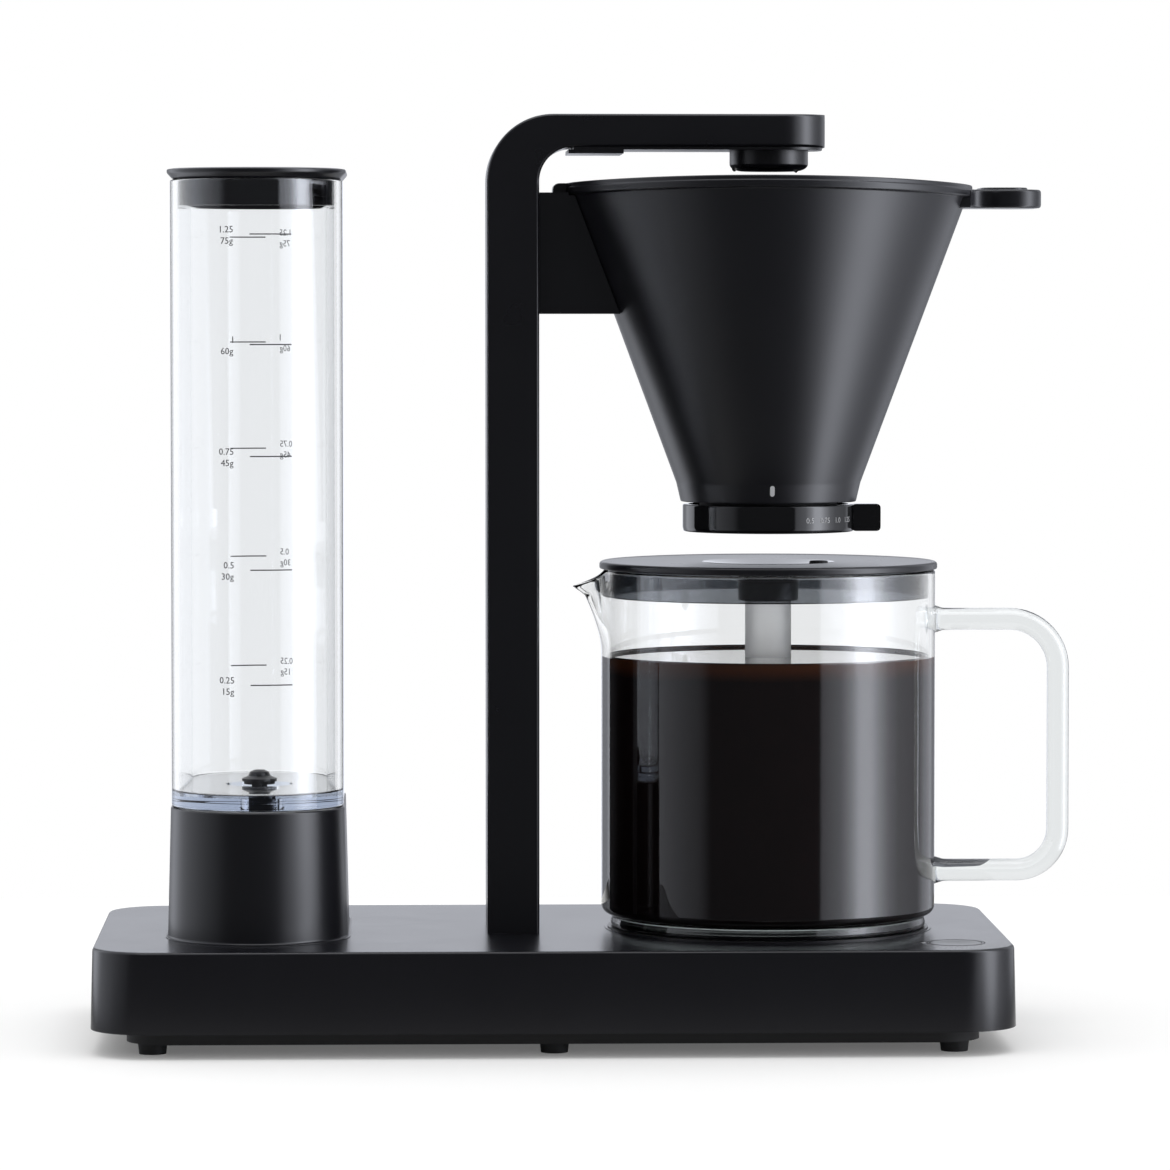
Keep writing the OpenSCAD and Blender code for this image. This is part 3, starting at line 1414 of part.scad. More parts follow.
module carafe_handle() color([0.9, 0.93, 0.95, 0.3])
    translate([brew_x, 0, plate_z]) {
        out_x = handle_reach - rod_d / 2;
        root_x = carafe_d / 2 + slip / 2;
        collar_l = 1.6;
        for (z = [handle_lo, handle_hi])
            translate([root_x, 0, z]) rotate([0, 90, 0]) cylinder(d = rod_d + 1.6, h = collar_l);
        translate([root_x, 0, handle_hi])
            rotate([0, 90, 0]) cylinder(d = rod_d, h = out_x - handle_hi_r - root_x);
        translate([root_x, 0, handle_lo])
            rotate([0, 90, 0]) cylinder(d = rod_d, h = out_x - handle_lo_r - root_x);
        translate([out_x - handle_hi_r, 0, handle_hi - handle_hi_r])
            rotate([90, 0, 0]) rotate_extrude(angle = 90) translate([handle_hi_r, 0]) circle(d = rod_d);
        translate([out_x - handle_lo_r, 0, handle_lo + handle_lo_r])
            rotate([90, 0, 0]) rotate([0, 0, -90])
                rotate_extrude(angle = 90) translate([handle_lo_r, 0]) circle(d = rod_d);
        translate([out_x, 0, handle_lo + handle_lo_r])
            cylinder(d = rod_d, h = handle_hi - handle_hi_r - handle_lo - handle_lo_r);
    }

// ------------------------------------------------------------ carafe lid

lid_shell = 1.8;
tube_hole_d = mix_d + slip;
vent_r = 30.6;
vent_a = -52;

module carafe_lid() color("#2a2a2d")
    translate([brew_x, 0, lid_z])
        difference() {
            rotate_extrude()
                polygon([
                    [0, -well_h + lid_t - 0.4],
                    [tube_hole_d / 2 + 2, -well_h + lid_t - 0.4],
                    [well_d / 2, lid_t - 0.4],
                    [lid_d / 2 - 2.2, lid_t - 0.4],
                    [lid_d / 2 - 1.2, lid_t],
                    [lid_d / 2, lid_t - 0.8],
                    [lid_d / 2, 0],
                    [well_d / 2, 0],
                    [tube_hole_d / 2 + 2.6, -well_h],
                    [tube_hole_d / 2 + 2.6, -well_h - 7],
                    [0, -well_h - 7]
                ]);
            translate([0, 0, -well_h - 8]) cylinder(d = tube_hole_d, h = well_h + 7 - 1);
            translate([0, 0, -well_h - 8]) cylinder(d = mix_d - 3, h = well_h + 12);
            rotate([0, 0, vent_a]) translate([vent_r, 0, -1]) cylinder(d = 7.5, h = lid_t + 2);
        }

module lid_skirt() color([0.45, 0.47, 0.5, 0.6])
    translate([brew_x, 0, lid_z - lid_skirt_h])
        tube(carafe_d - 2 * glass_wall - 2 * seat, carafe_d - 2 * glass_wall - 2 * seat - 4, lid_skirt_h);

module mixing_tube() color("#8d8f93")
    translate([brew_x, 0, lid_z - well_h - 1 - mix_l])
        difference() {
            tube(mix_d, mix_d - 2.6, mix_l - 0.2);
            for (a = [0, 90])
                rotate([0, 0, a]) translate([-mix_d, -3, -1]) cube([2 * mix_d, 6, 9]);
        }

base_housing();
bottom_cover();
rubber_feet();
bottom_screws();
warming_plate();
plate_gasket();
plate_screws();
flow_heater();
heater_element();
heater_clamp();
clamp_nut();
thermostats();
thermal_fuse();
feed_hose();
check_valve();
riser_hose();
hose_clamps();
control_board();
board_parts();
terminal_block();
cord_inlet();
switch_board();
power_button();
button_spring();
light_guide();
tank_socket();
socket_screws();
tank_body();
spigot_seal();
tank_valve();
valve_washer();
valve_spring();
tank_lid();
column();
column_clamp();
column_bolts();
arm_cover();
arm_screws();
spray_head();
spray_plate();
spray_nut();
spray_elbow();
basket_bracket();
bracket_screws();
filter_basket();
basket_grip();
valve_disc();
flow_ring();
ring_clip();
carafe_glass();
carafe_handle();
carafe_lid();
lid_skirt();
mixing_tube();
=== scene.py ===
# %% [markdown]
# # A drip filter coffee maker
# The machine is a flat black base with a clear water tank on the left, a slim
# column that bends over into an arm, and a glass carafe on a warming plate.
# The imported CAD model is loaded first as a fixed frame. Every surface made
# here lies in that frame, so a piece is placed by its coordinates alone.

# %% Load the frame
import math

import bmesh
import bpy
import numpy as np
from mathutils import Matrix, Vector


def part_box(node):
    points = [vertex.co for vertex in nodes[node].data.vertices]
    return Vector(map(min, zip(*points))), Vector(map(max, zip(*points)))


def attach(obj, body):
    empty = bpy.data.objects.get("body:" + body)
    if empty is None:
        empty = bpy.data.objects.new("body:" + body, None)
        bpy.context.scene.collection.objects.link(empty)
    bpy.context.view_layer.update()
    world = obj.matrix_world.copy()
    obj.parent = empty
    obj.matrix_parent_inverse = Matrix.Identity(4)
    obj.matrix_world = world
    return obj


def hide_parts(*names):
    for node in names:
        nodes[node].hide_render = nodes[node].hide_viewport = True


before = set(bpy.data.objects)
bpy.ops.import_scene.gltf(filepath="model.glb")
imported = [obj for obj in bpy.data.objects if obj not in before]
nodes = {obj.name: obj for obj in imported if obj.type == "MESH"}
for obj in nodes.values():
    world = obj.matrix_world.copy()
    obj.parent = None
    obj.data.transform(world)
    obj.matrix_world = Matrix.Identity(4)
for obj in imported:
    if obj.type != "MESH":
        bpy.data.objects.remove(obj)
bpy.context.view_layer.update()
print("nodes in the frame:", len(nodes))

# %% [markdown]
# ## Sizes
# Lengths here are millimetres, and a mesh is scaled to metres when it is
# made. The stations along the base and the levels are the same as in
# the construction. Levels that a CAD node already holds are read from it.

# %% Stations and levels
MM = 0.001


def level(node, end):
    """Lowest (end 0) or highest (end 1) height of a CAD node, in millimetres."""
    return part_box(node)[end].z / MM


BASE_X = -13.25
TANK_X = BASE_X - 110.1
COLUMN_X = BASE_X - 14.2
BREW_X = BASE_X + 83.0
DECK_Z = level("column", 0)
PLATE_Z = level("warming_plate", 1)
TOP_Z = level("column", 1)
TANK_Z = level("tank_socket", 1) + 0.3
TANK_RIM_Z = level("tank_body", 1)
RIM_Z = 323.7
RING_Z = level("flow_ring", 0)
RING_TOP = level("flow_ring", 1)
CARAFE_RIM_Z = level("carafe_glass", 1)
LID_Z = CARAFE_RIM_Z + 0.3
print("deck", DECK_Z, "plate", PLATE_Z, "top", TOP_Z, "carafe rim", CARAFE_RIM_Z)

# %% [markdown]
# ## Surfaces from arrays
# A surface here is a grid of points: rows run along one parameter, columns
# along the other. One function numbers the quads of such a grid, and one
# puts points and quads into a mesh, merges the seam and the poles, turns
# the faces outwards and keeps only real edges sharp. A Weighted Normal
# modifier lets the large faces decide the shading, so a flat wall beside a
# small rounding stays flat, also where light bends through it.


# %% Grids and meshes
def grid_quads(rows, cols, close_rows=False, close_cols=False):
    """Corner numbers of the quads between neighbouring rows and columns.

    The point in row r and column c has the number r * cols + c. A closed
    direction joins its last line of points to the first.
    """
    r = np.arange(rows if close_rows else rows - 1)
    c = np.arange(cols if close_cols else cols - 1)
    r, c = np.meshgrid(r, c, indexing="ij")
    r2, c2 = (r + 1) % rows, (c + 1) % cols
    corners = [r * cols + c, r * cols + c2, r2 * cols + c2, r2 * cols + c]
    return np.stack(corners, -1).reshape(-1, 4)


def capped(rows, cols):
    """The quads of a tube whose first and last rows are closed by one face each."""
    quads = grid_quads(rows, cols, close_cols=True).tolist()
    return quads + [list(range(cols)), list(range((rows - 1) * cols, rows * cols))]


def flat_stays_flat(thing, keep_sharp=False):
    """Shade by weighted normals, where the largest faces at a point weigh most."""
    even = thing.modifiers.new("flat_stays_flat", "WEIGHTED_NORMAL")
    even.weight = 80
    even.keep_sharp = keep_sharp


def make_piece(name, points, faces, finish, body, replaces=(), smooth=32.0):
    """A mesh object from points in millimetres and a list of faces."""
    mesh = bpy.data.meshes.new(name)
    points = np.asarray(points, float).reshape(-1, 3) * MM
    mesh.from_pydata(points.tolist(), [], [list(map(int, f)) for f in faces])
    work = bmesh.new()
    work.from_mesh(mesh)
    bmesh.ops.remove_doubles(work, verts=work.verts, dist=2e-7)
    bmesh.ops.dissolve_degenerate(work, edges=work.edges, dist=1e-8)
    bmesh.ops.recalc_face_normals(work, faces=work.faces)
    work.to_mesh(mesh)
    work.free()
    mesh.polygons.foreach_set("use_smooth", np.ones(len(mesh.polygons), bool))
    mesh.set_sharp_from_angle(angle=math.radians(smooth))
    piece = bpy.data.objects.new(name, mesh)
    bpy.context.scene.collection.objects.link(piece)
    mesh.materials.append(finish)
    flat_stays_flat(piece, keep_sharp=True)
    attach(piece, body)
    if replaces:
        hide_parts(*replaces)
    print(f"{name}: {len(mesh.polygons)} faces")
    return piece


# %% [markdown]
# Most pieces of the machine are turned or have a rounded outline, so two
# generators cover them. `turned` carries a profile of radius and height
# round an axis. `lofted` carries a profile of inset and height round a
# rectangle with rounded corners; with the largest radius this is the
# stadium of the water tank. `holed` does the same round a hole.


# %% Turned and lofted surfaces
def coords(*axes):
    """Points from their coordinates, each an array or a single number."""
    return np.stack(np.broadcast_arrays(*axes), -1)


def fillet(corners, radius, steps=5):
    """A broken line whose inner corners are rounded.

    Each corner P with neighbours A and B is replaced by a quadratic curve
    from P towards A to P towards B, both the radius away (or a little less
    than half the side): (1-t)^2 start + 2t(1-t) P + t^2 end.
    """
    p = np.asarray(corners, float)
    out = [p[:1]]
    t = np.linspace(0, 1, steps)[:, None]
    for a, b, c in zip(p[:-2], p[1:-1], p[2:]):
        ra = min(radius, 0.48 * np.linalg.norm(a - b))
        rc = min(radius, 0.48 * np.linalg.norm(c - b))
        start = b + (a - b) / max(np.linalg.norm(a - b), 1e-9) * ra
        end = b + (c - b) / max(np.linalg.norm(c - b), 1e-9) * rc
        out.append((1 - t) ** 2 * start + 2 * t * (1 - t) * b + t**2 * end)
    out.append(p[-1:])
    return np.concatenate(out)


def turned_points(profile, axis_x, axis_y=0.0, turns=128):
    """x = axis_x + r cos a, y = axis_y + r sin a, z from the profile."""
    a = np.linspace(0, 2 * np.pi, turns, endpoint=False)
    r, z = np.asarray(profile, float).T[..., None]
    return coords(axis_x + r * np.cos(a), axis_y + r * np.sin(a), z)


def turned(name, profile, axis_x, finish, body, slot, replaces=(), closed=False, turns=128, **more):
    """A piece turned round a vertical axis from an open or closed profile."""
    grid = turned_points(profile, axis_x, turns=turns, **more)
    quads = grid_quads(len(profile), turns, close_rows=closed, close_cols=True)
    return make_piece(name, grid, quads, finish, body, replaces)


ARC = 24


def around(a):
    """Points (cos a, sin a) on the unit circle."""
    return coords(np.cos(a), np.sin(a))


def corner_angles(arc):
    """The angles of the four corner arcs of a rounded rectangle, in one line."""
    return np.concatenate([np.linspace(0, np.pi / 2, arc) + k * np.pi / 2 for k in range(4)])


def outline(width, depth, radius, inset, arc=ARC):
    """Rounded rectangle moved inwards by each inset: an array inset x points x 2.

    Each quarter is an arc of radius minus inset round its corner's centre,
    which sits half the width and depth minus the radius from the middle. An
    inset past the radius moves the centre instead.
    """
    inset = np.asarray(inset, float)[:, None]
    a = corner_angles(arc)[None, :]
    sx = np.repeat([1, -1, -1, 1], arc)[None, :]
    sy = np.repeat([1, 1, -1, -1], arc)[None, :]
    r = np.maximum(radius - inset, 0)
    cx = np.maximum(np.minimum(width / 2 - radius, width / 2 - inset), 0)
    cy = np.maximum(np.minimum(depth / 2 - radius, depth / 2 - inset), 0)
    return coords(sx * cx + r * np.cos(a), sy * cy + r * np.sin(a))


def holed(name, size, rows, middle, finish, body, slot, replaces=(), closed=False):
    """A piece lofted round a rounded rectangle that may have a round hole in its middle.

    A row is (0, inset, height) on the rectangle or (1, radius, height) on a
    circle. A circle's points lie at the angles of the rectangle's corner arcs.
    """
    width, depth, radius = size
    kind, value, z = np.asarray(rows, float).T
    plan = outline(width, depth, radius, np.where(kind == 0, value, 0.0))
    circle = value[:, None, None] * around(corner_angles(ARC))[None]
    flat = np.where(kind[:, None, None] == 1, circle, plan) + middle
    grid = coords(flat[..., 0], flat[..., 1], z[:, None])
    quads = grid_quads(len(rows), grid.shape[1], close_rows=closed, close_cols=True)
    return make_piece(name, grid, quads, finish, body, replaces)


def lofted(name, size, profile, *rest, **more):
    """A piece lofted from (inset, height) rows round a rounded rectangle."""
    return holed(name, size, [(0, inset, z) for inset, z in profile], *rest, **more)


# %% [markdown]
# ## Camera
# The camera stands 2.27 m in front of the machine, a little to the left,
# and looks slightly down through a long lens, so verticals stay parallel.

# %% Camera
CAMERA_AT, LENS_MM, LOOK_DOWN, LOOK_RIGHT = (-0.07271, -2.26995, 0.27926), 184.39, 0.0482, 0.0321
camera_data = bpy.data.cameras.new("camera")
camera_data.sensor_width = 36.0
camera_data.lens = LENS_MM
camera_data.clip_end = 50.0
camera = bpy.data.objects.new("camera", camera_data)
camera.location = CAMERA_AT
camera.rotation_euler = (math.pi / 2 - LOOK_DOWN, 0.0, -LOOK_RIGHT)
bpy.context.scene.collection.objects.link(camera)
bpy.context.scene.camera = camera
print("lens", LENS_MM, "mm at", CAMERA_AT)

# %% [markdown]
# ## Studio
# Black plastic and clear glass are drawn by what they mirror. A studio puts
# white boards at the sides, leaves the room behind the camera dark and lights
# the wall behind the table white. Here the world stands for all of that: for
# mirrored rays its strength depends on the compass direction, read from a
# ramp. The boards are daylight lamps, a little bluer than white. Scattered
# light gets an even level near 1, at which a colour renders as written. The
# camera sees plain white, and so does clear material where light goes on to
# the wall behind; where it bends far to the side it shows the studio, which
# draws the dark outline of glass.

# %% World
scene = bpy.context.scene
scene.view_settings.view_transform = "Standard"
world = bpy.data.worlds.new("studio")
scene.world = world
world.use_nodes = True
world.cycles.sampling_method = "NONE"
wt = world.node_tree
wt.nodes.clear()


def add(tree, kind, sockets=None, **settings):
    """A new shader node with its settings, and values for sockets by number or name.

    The kind is the node's type without the ShaderNode that every type begins with.
    """
    node = tree.nodes.new("ShaderNode" + kind)
    for key, value in settings.items():
        setattr(node, key, value)
    for key, value in (sockets or {}).items():
        node.inputs[key].default_value = value
    return node


def wire(tree, *links):
    """Link nodes; a link is a node, its output, the next node and its input."""
    for source, leaves, target, enters in links:
        tree.links.new(source.outputs[leaves], target.inputs[enters])


AMBIENT = 0.92
TOP_BOARD = 1.1
DAYLIGHT, WHITE = (0.955, 0.985, 1.075, 1), (1.0, 1.0, 1.0, 1)
# compass direction in degrees, 0 towards the camera and 90 to the right, and brightness there
BOARDS = [
    (-180, 1.05), (-172, 1.05), (-166, 0.35), (-153, 0.6), (-143, 1.5), (-130, 1.7), (-118, 1.25),
    (-90, 1.15), (-70, 0.75), (-52, 0.45), (-43, 0.1), (32, 0.1), (34, 1.1), (48, 2.0), (57, 4.2),
    (62, 6.6), (71, 6.6), (79, 4.0), (88, 2.0), (98, 1.1), (112, 0.7), (122, 0.5), (132, 0.9),
    (148, 0.9), (156, 0.35), (166, 0.35), (172, 1.05), (180, 1.05)]
PEAK = 6.6

direction = add(wt, "TexCoord")
split = add(wt, "SeparateXYZ")
front = add(wt, "Math", {1: -1.0}, operation="MULTIPLY")
compass = add(wt, "Math", operation="ARCTAN2")
turn = add(wt, "MapRange", {1: -math.pi, 2: math.pi})
boards = add(wt, "ValToRGB")
bright = add(wt, "Math", {1: PEAK}, operation="MULTIPLY")
high = add(wt, "MapRange", {1: 0.72, 2: 0.86})
mirrored = add(wt, "Mix", {3: TOP_BOARD}, data_type="FLOAT")
path = add(wt, "LightPath")
behind = add(wt, "MapRange", {1: 0.1, 2: 0.6})
bent = add(wt, "Math", operation="MULTIPLY")
plain = add(wt, "Math", operation="MAXIMUM")
seen = add(wt, "Mix", {3: 1.0}, data_type="FLOAT")
lit = add(wt, "Mix", {3: AMBIENT}, data_type="FLOAT")
neutral = add(wt, "Math", operation="MAXIMUM")
tone = add(wt, "Mix", {"A": DAYLIGHT, "B": WHITE}, data_type="RGBA")
glow = add(wt, "Background")
out = add(wt, "OutputWorld")
ramp = boards.color_ramp
ramp.elements[0].color = ramp.elements[1].color = (BOARDS[0][1] / PEAK,) * 3 + (1,)
for degrees, value in BOARDS[1:-1]:
    ramp.elements.new((degrees + 180) / 360).color = (value / PEAK,) * 3 + (1,)
wire(wt, (direction, "Generated", split, 0), (split, "Y", front, 0), (split, "X", compass, 0),
     (front, 0, compass, 1), (compass, 0, turn, 0), (turn, 0, boards, 0), (boards, 0, bright, 0),
     (split, "Z", high, 0), (high, 0, mirrored, 0), (bright, 0, mirrored, 2),
     (split, "Y", behind, 0), (path, "Is Transmission Ray", bent, 0), (behind, 0, bent, 1),
     (path, "Is Camera Ray", plain, 0), (bent, 0, plain, 1),
     (path, "Is Diffuse Ray", lit, 0), (mirrored, 0, lit, 2), (plain, 0, seen, 0),
     (lit, 0, seen, 2), (seen, 0, glow, "Strength"), (plain, 0, neutral, 0),
     (path, "Is Diffuse Ray", neutral, 1), (neutral, 0, tone, "Factor"),
     (tone, "Result", glow, "Color"), (glow, 0, out, 0))
print("world boards:", len(ramp.elements))

# %% [markdown]
# The floor is white paper under the machine. Its brightness there is scattered
# light, so the soft shadow under the base stays deep. Further out the paper
# turns darker, as the black flags do that a studio lays in front of a black
# product, and a glow that the camera and clear pieces alone see makes up for
# it, so the picture stays white to its edges. The sheet is small, and mirrored
# rays pass through its outer parts, so that upright walls mirror the boards
# that stand beyond it.

# %% Floor and top lamp
FLOOR_X, FLOOR_Y = 0.42, 0.5
floor_mesh = bpy.data.meshes.new("floor")
corners = [(-FLOOR_X, -FLOOR_Y, 0), (FLOOR_X, -FLOOR_Y, 0),
           (FLOOR_X, FLOOR_Y, 0), (-FLOOR_X, FLOOR_Y, 0)]
floor_mesh.from_pydata(corners, [], [(0, 1, 2, 3)])
floor = bpy.data.objects.new("floor", floor_mesh)
scene.collection.objects.link(floor)
PAPER, FLAG = 0.88, 0.12
paper = bpy.data.materials.new("studio_paper")
paper.use_nodes = True
pt = paper.node_tree
pt.nodes.clear()
spot = add(pt, "TexCoord")
xyz = add(pt, "SeparateXYZ")
aside = add(pt, "Math", operation="ABSOLUTE")
front_flag = add(pt, "MapRange", {1: -0.12, 2: -0.24})
side_flag = add(pt, "MapRange", {1: 0.18, 2: 0.27})
flagged = add(pt, "Math", operation="MAXIMUM")
flag = add(pt, "MapRange", {3: PAPER, 4: FLAG})
far = add(pt, "VectorMath", operation="LENGTH")
fade = add(pt, "MapRange", {1: 0.25, 2: 0.9, 3: 1.0, 4: 1.12})
gap = add(pt, "Math", operation="SUBTRACT")
matt = add(pt, "BsdfDiffuse")
eye = add(pt, "LightPath")
either = add(pt, "Math", operation="MAXIMUM")
lift = add(pt, "Math", operation="MULTIPLY")
shine = add(pt, "Emission", {0: WHITE})
both = add(pt, "AddShader")
edge_side = add(pt, "MapRange", {1: 0.29, 2: 0.33})
edge_front = add(pt, "MapRange", {1: -0.24, 2: -0.30})
outside = add(pt, "Math", operation="MAXIMUM")
passing = add(pt, "Math", operation="MULTIPLY")
open_air = add(pt, "BsdfTransparent")
cut = add(pt, "MixShader")
paper_out = add(pt, "OutputMaterial")
wire(pt, (spot, "Object", xyz, 0), (spot, "Object", far, 0), (xyz, "Y", front_flag, 0),
     (xyz, "X", aside, 0), (aside, 0, side_flag, 0), (front_flag, 0, flagged, 0),
     (side_flag, 0, flagged, 1), (flagged, 0, flag, 0), (flag, 0, matt, "Color"),
     (far, "Value", fade, 0), (fade, 0, gap, 0), (flag, 0, gap, 1),
     (eye, "Is Camera Ray", either, 0), (eye, "Is Transmission Ray", either, 1),
     (either, 0, lift, 0), (gap, 0, lift, 1), (lift, 0, shine, "Strength"),
     (matt, 0, both, 0), (shine, 0, both, 1), (aside, 0, edge_side, 0), (xyz, "Y", edge_front, 0),
     (edge_side, 0, outside, 0), (edge_front, 0, outside, 1), (outside, 0, passing, 0),
     (eye, "Is Glossy Ray", passing, 1), (passing, 0, cut, "Fac"), (both, 0, cut, 1),
     (open_air, 0, cut, 2), (cut, 0, paper_out, 0))
floor_mesh.materials.append(paper)

lamp = bpy.data.lights.new("top_box", "AREA")
lamp.shape = "RECTANGLE"
lamp.size, lamp.size_y = 1.6, 1.0
lamp.energy = 8.0
top_box = bpy.data.objects.new("top_box", lamp)
top_box.location = (0.1, -0.2, 1.7)
scene.collection.objects.link(top_box)
print("floor", 2 * FLOOR_X, "by", 2 * FLOOR_Y, "m, top lamp", lamp.energy, "W")

# %% [markdown]
# ## Finishes
# The mouldings are black plastic with a fine spark-eroded grain. The grain is
# a small noise bump, and a slower noise varies how rough the surface is, as
# handling does. An image could carry the grain, but a noise needs no unwrapping
# and never repeats. Colour, gloss and refraction that are the same all over are
# set on the shader itself. Object coordinates keep each pattern on its piece.


# %% Moulded plastics, rubber and metal
def new_finish(name, sockets):
    """A material with a Principled shader and its socket values, its tree and its output."""
    made = bpy.data.materials.new(name)
    made.use_nodes = True
    tree = made.node_tree
    shader = tree.nodes["Principled BSDF"]
    for key, value in sockets.items():
        shader.inputs[key].default_value = value
    return made, tree, shader, tree.nodes["Material Output"]


def noise(tree, source, output, scale, detail):
    """A noise whose place comes from the source node's output."""
    made = add(tree, "TexNoise", {"Scale": scale, "Detail": detail})
    wire(tree, (source, output, made, "Vector"))
    return made


def moulded(name, colour, rough, spread=0.05, grain=0.06, grain_scale=2600.0, ior=1.4, tone=0.12):
    """Plastic or rubber: noise in its roughness and tone, fine grain as bump."""
    made, tree, shader, _ = new_finish(name, {"IOR": ior})
    place = add(tree, "TexCoord")
    slow = noise(tree, place, "Object", 38.0, 4.0)
    fine = noise(tree, place, "Object", grain_scale, 2.0)
    worn = add(tree, "MapRange", {3: rough - spread, 4: rough + spread})
    low = tuple(c * (1 - tone) for c in colour) + (1,)
    high = tuple(c * (1 + tone) for c in colour) + (1,)
    tint = add(tree, "Mix", {"A": low, "B": high}, data_type="RGBA")
    bump = add(tree, "Bump", {"Strength": grain, "Distance": 0.0001})
    wire(tree, (slow, "Fac", worn, 0), (slow, "Fac", tint, "Factor"),
         (tint, "Result", shader, "Base Color"), (worn, 0, shader, "Roughness"),
         (fine, "Fac", bump, "Height"), (bump, 0, shader, "Normal"))
    return made


def metal(name, colour, rough, spread=0.08, streak=(40.0, 40.0, 400.0)):
    """Plain metal with drawn streaks: a noise stretched along one direction."""
    made, tree, shader, _ = new_finish(name, {"Metallic": 1.0})
    place = add(tree, "TexCoord")
    stretch = add(tree, "Mapping", {"Scale": streak})
    wire(tree, (place, "Object", stretch, "Vector"))
    grain = noise(tree, stretch, 0, 12.0, 6.0)
    worn = add(tree, "MapRange", {3: rough - spread, 4: rough + spread})
    low, high = tuple(c * 0.85 for c in colour) + (1,), colour + (1,)
    tint = add(tree, "Mix", {"A": low, "B": high}, data_type="RGBA")
    wire(tree, (grain, "Fac", worn, 0), (grain, "Fac", tint, "Factor"),
         (tint, "Result", shader, "Base Color"), (worn, 0, shader, "Roughness"))
    return made


BLACK = (0.0046, 0.0046, 0.0064)
satin_black = moulded("satin_black", BLACK, 0.28, spread=0.02, grain=0.04, ior=1.47)
base_black = moulded("base_black", BLACK, 0.25, spread=0.02, grain=0.03, ior=1.45)
socket_black = moulded("socket_black", BLACK, 0.3, spread=0.02, grain=0.05, ior=1.47)
cone_black = moulded("cone_black", BLACK, 0.33, spread=0.02, grain=0.05, ior=1.47)
gloss_black = moulded(
    "gloss_black", (0.004, 0.004, 0.0046), 0.05, spread=0.02, grain=0.0, ior=1.5)
soft_black = moulded("soft_black", (0.012, 0.012, 0.013), 0.6, grain=0.15)
plate_black = moulded("plate_black", (0.008, 0.008, 0.009), 0.3, grain=0.1, grain_scale=900.0)
pale_moulding = moulded("pale_moulding", (0.75, 0.73, 0.68), 0.4)
silicone = moulded("silicone", (0.62, 0.57, 0.47), 0.45)
ceramic = moulded("ceramic", (0.72, 0.7, 0.64), 0.25)
circuit = moulded("circuit", (0.02, 0.13, 0.05), 0.35)
component = moulded("component", (0.02, 0.02, 0.024), 0.3)
screw_steel = metal("screw_steel", (0.55, 0.55, 0.56), 0.32)
cast_metal = metal("cast_metal", (0.66, 0.66, 0.67), 0.5, streak=(120.0, 120.0, 120.0))
element_steel = metal("element_steel", (0.33, 0.33, 0.34), 0.4)
mark_dark = moulded("mark_dark", (0.05, 0.05, 0.055), 0.5, grain=0.02)
mark_pale = moulded("mark_pale", (0.5, 0.51, 0.53), 0.5, grain=0.02)
print("finishes:", len(bpy.data.materials))

# %% [markdown]
# Clear plastic and glass are closed shells with an outer and an inner wall,
# so light bends in and out as it should; a single skin would look like a
# solid block. A thin absorption darkens the edges,
# where the eye looks along the wall. Rays from lamps pass straight through,
# as most of the light does in reality, so what stands inside stays lit.


# %% Clear plastic and glass
def clear(name, tint, density, ior, rough=0.0, ripple=0.0, colour=(1, 1, 1)):
    """A clear solid: refraction, absorption in depth, and a faint ripple."""
    made, tree, shader, output = new_finish(name, {
        "Base Color": colour + (1,), "Transmission Weight": 1.0, "Roughness": rough, "IOR": ior})
    depth = add(tree, "VolumeAbsorption", {"Color": tint + (1,), "Density": density})
    if ripple:
        place = add(tree, "TexCoord")
        wave = noise(tree, place, "Object", 22.0, 1.0)
        bump = add(tree, "Bump", {"Strength": ripple, "Distance": 0.001})
        wire(tree, (wave, "Fac", bump, "Height"), (bump, 0, shader, "Normal"))
    through = add(tree, "BsdfTransparent", {0: (0.96, 0.97, 0.97, 1)})
    light = add(tree, "LightPath")
    mix = add(tree, "MixShader")
    wire(tree, (depth, 0, output, "Volume"), (light, "Is Shadow Ray", mix, 0), (shader, 0, mix, 1),
         (through, 0, mix, 2), (mix, 0, output, "Surface"))
    return made


clear_plastic = clear(
    "clear_plastic", (0.55, 0.62, 0.74), 19.0, 1.45, ripple=0.02, colour=(0.972, 0.98, 0.985))
clear_glass = clear(
    "clear_glass", (0.62, 0.68, 0.68), 16.0, 1.5, ripple=0.02, colour=(0.97, 0.975, 0.98))
handle_glass = clear("handle_glass", (0.62, 0.67, 0.68), 42.0, 1.5, colour=(0.955, 0.965, 0.97))
smoke = clear("smoke", (0.24, 0.27, 0.31), 1100.0, 1.45, rough=0.05)
frosted = clear("frosted", (0.6, 0.62, 0.66), 110.0, 1.42, rough=0.42, ripple=0.1)
water = clear("water", (0.9, 0.95, 1.0), 5.0, 1.33)
print("finishes with the clear ones:", len(bpy.data.materials))

# %% [markdown]
# ## Nodes that keep their own mesh
# Many construction parts already have the right shape. Their meshes are loose
# triangles, so a Weld joins them and an Edge Split keeps real edges crisp
# while round walls shade smoothly; a Weighted Normal keeps flat faces flat.
# Each gets the finish of what it is made of.

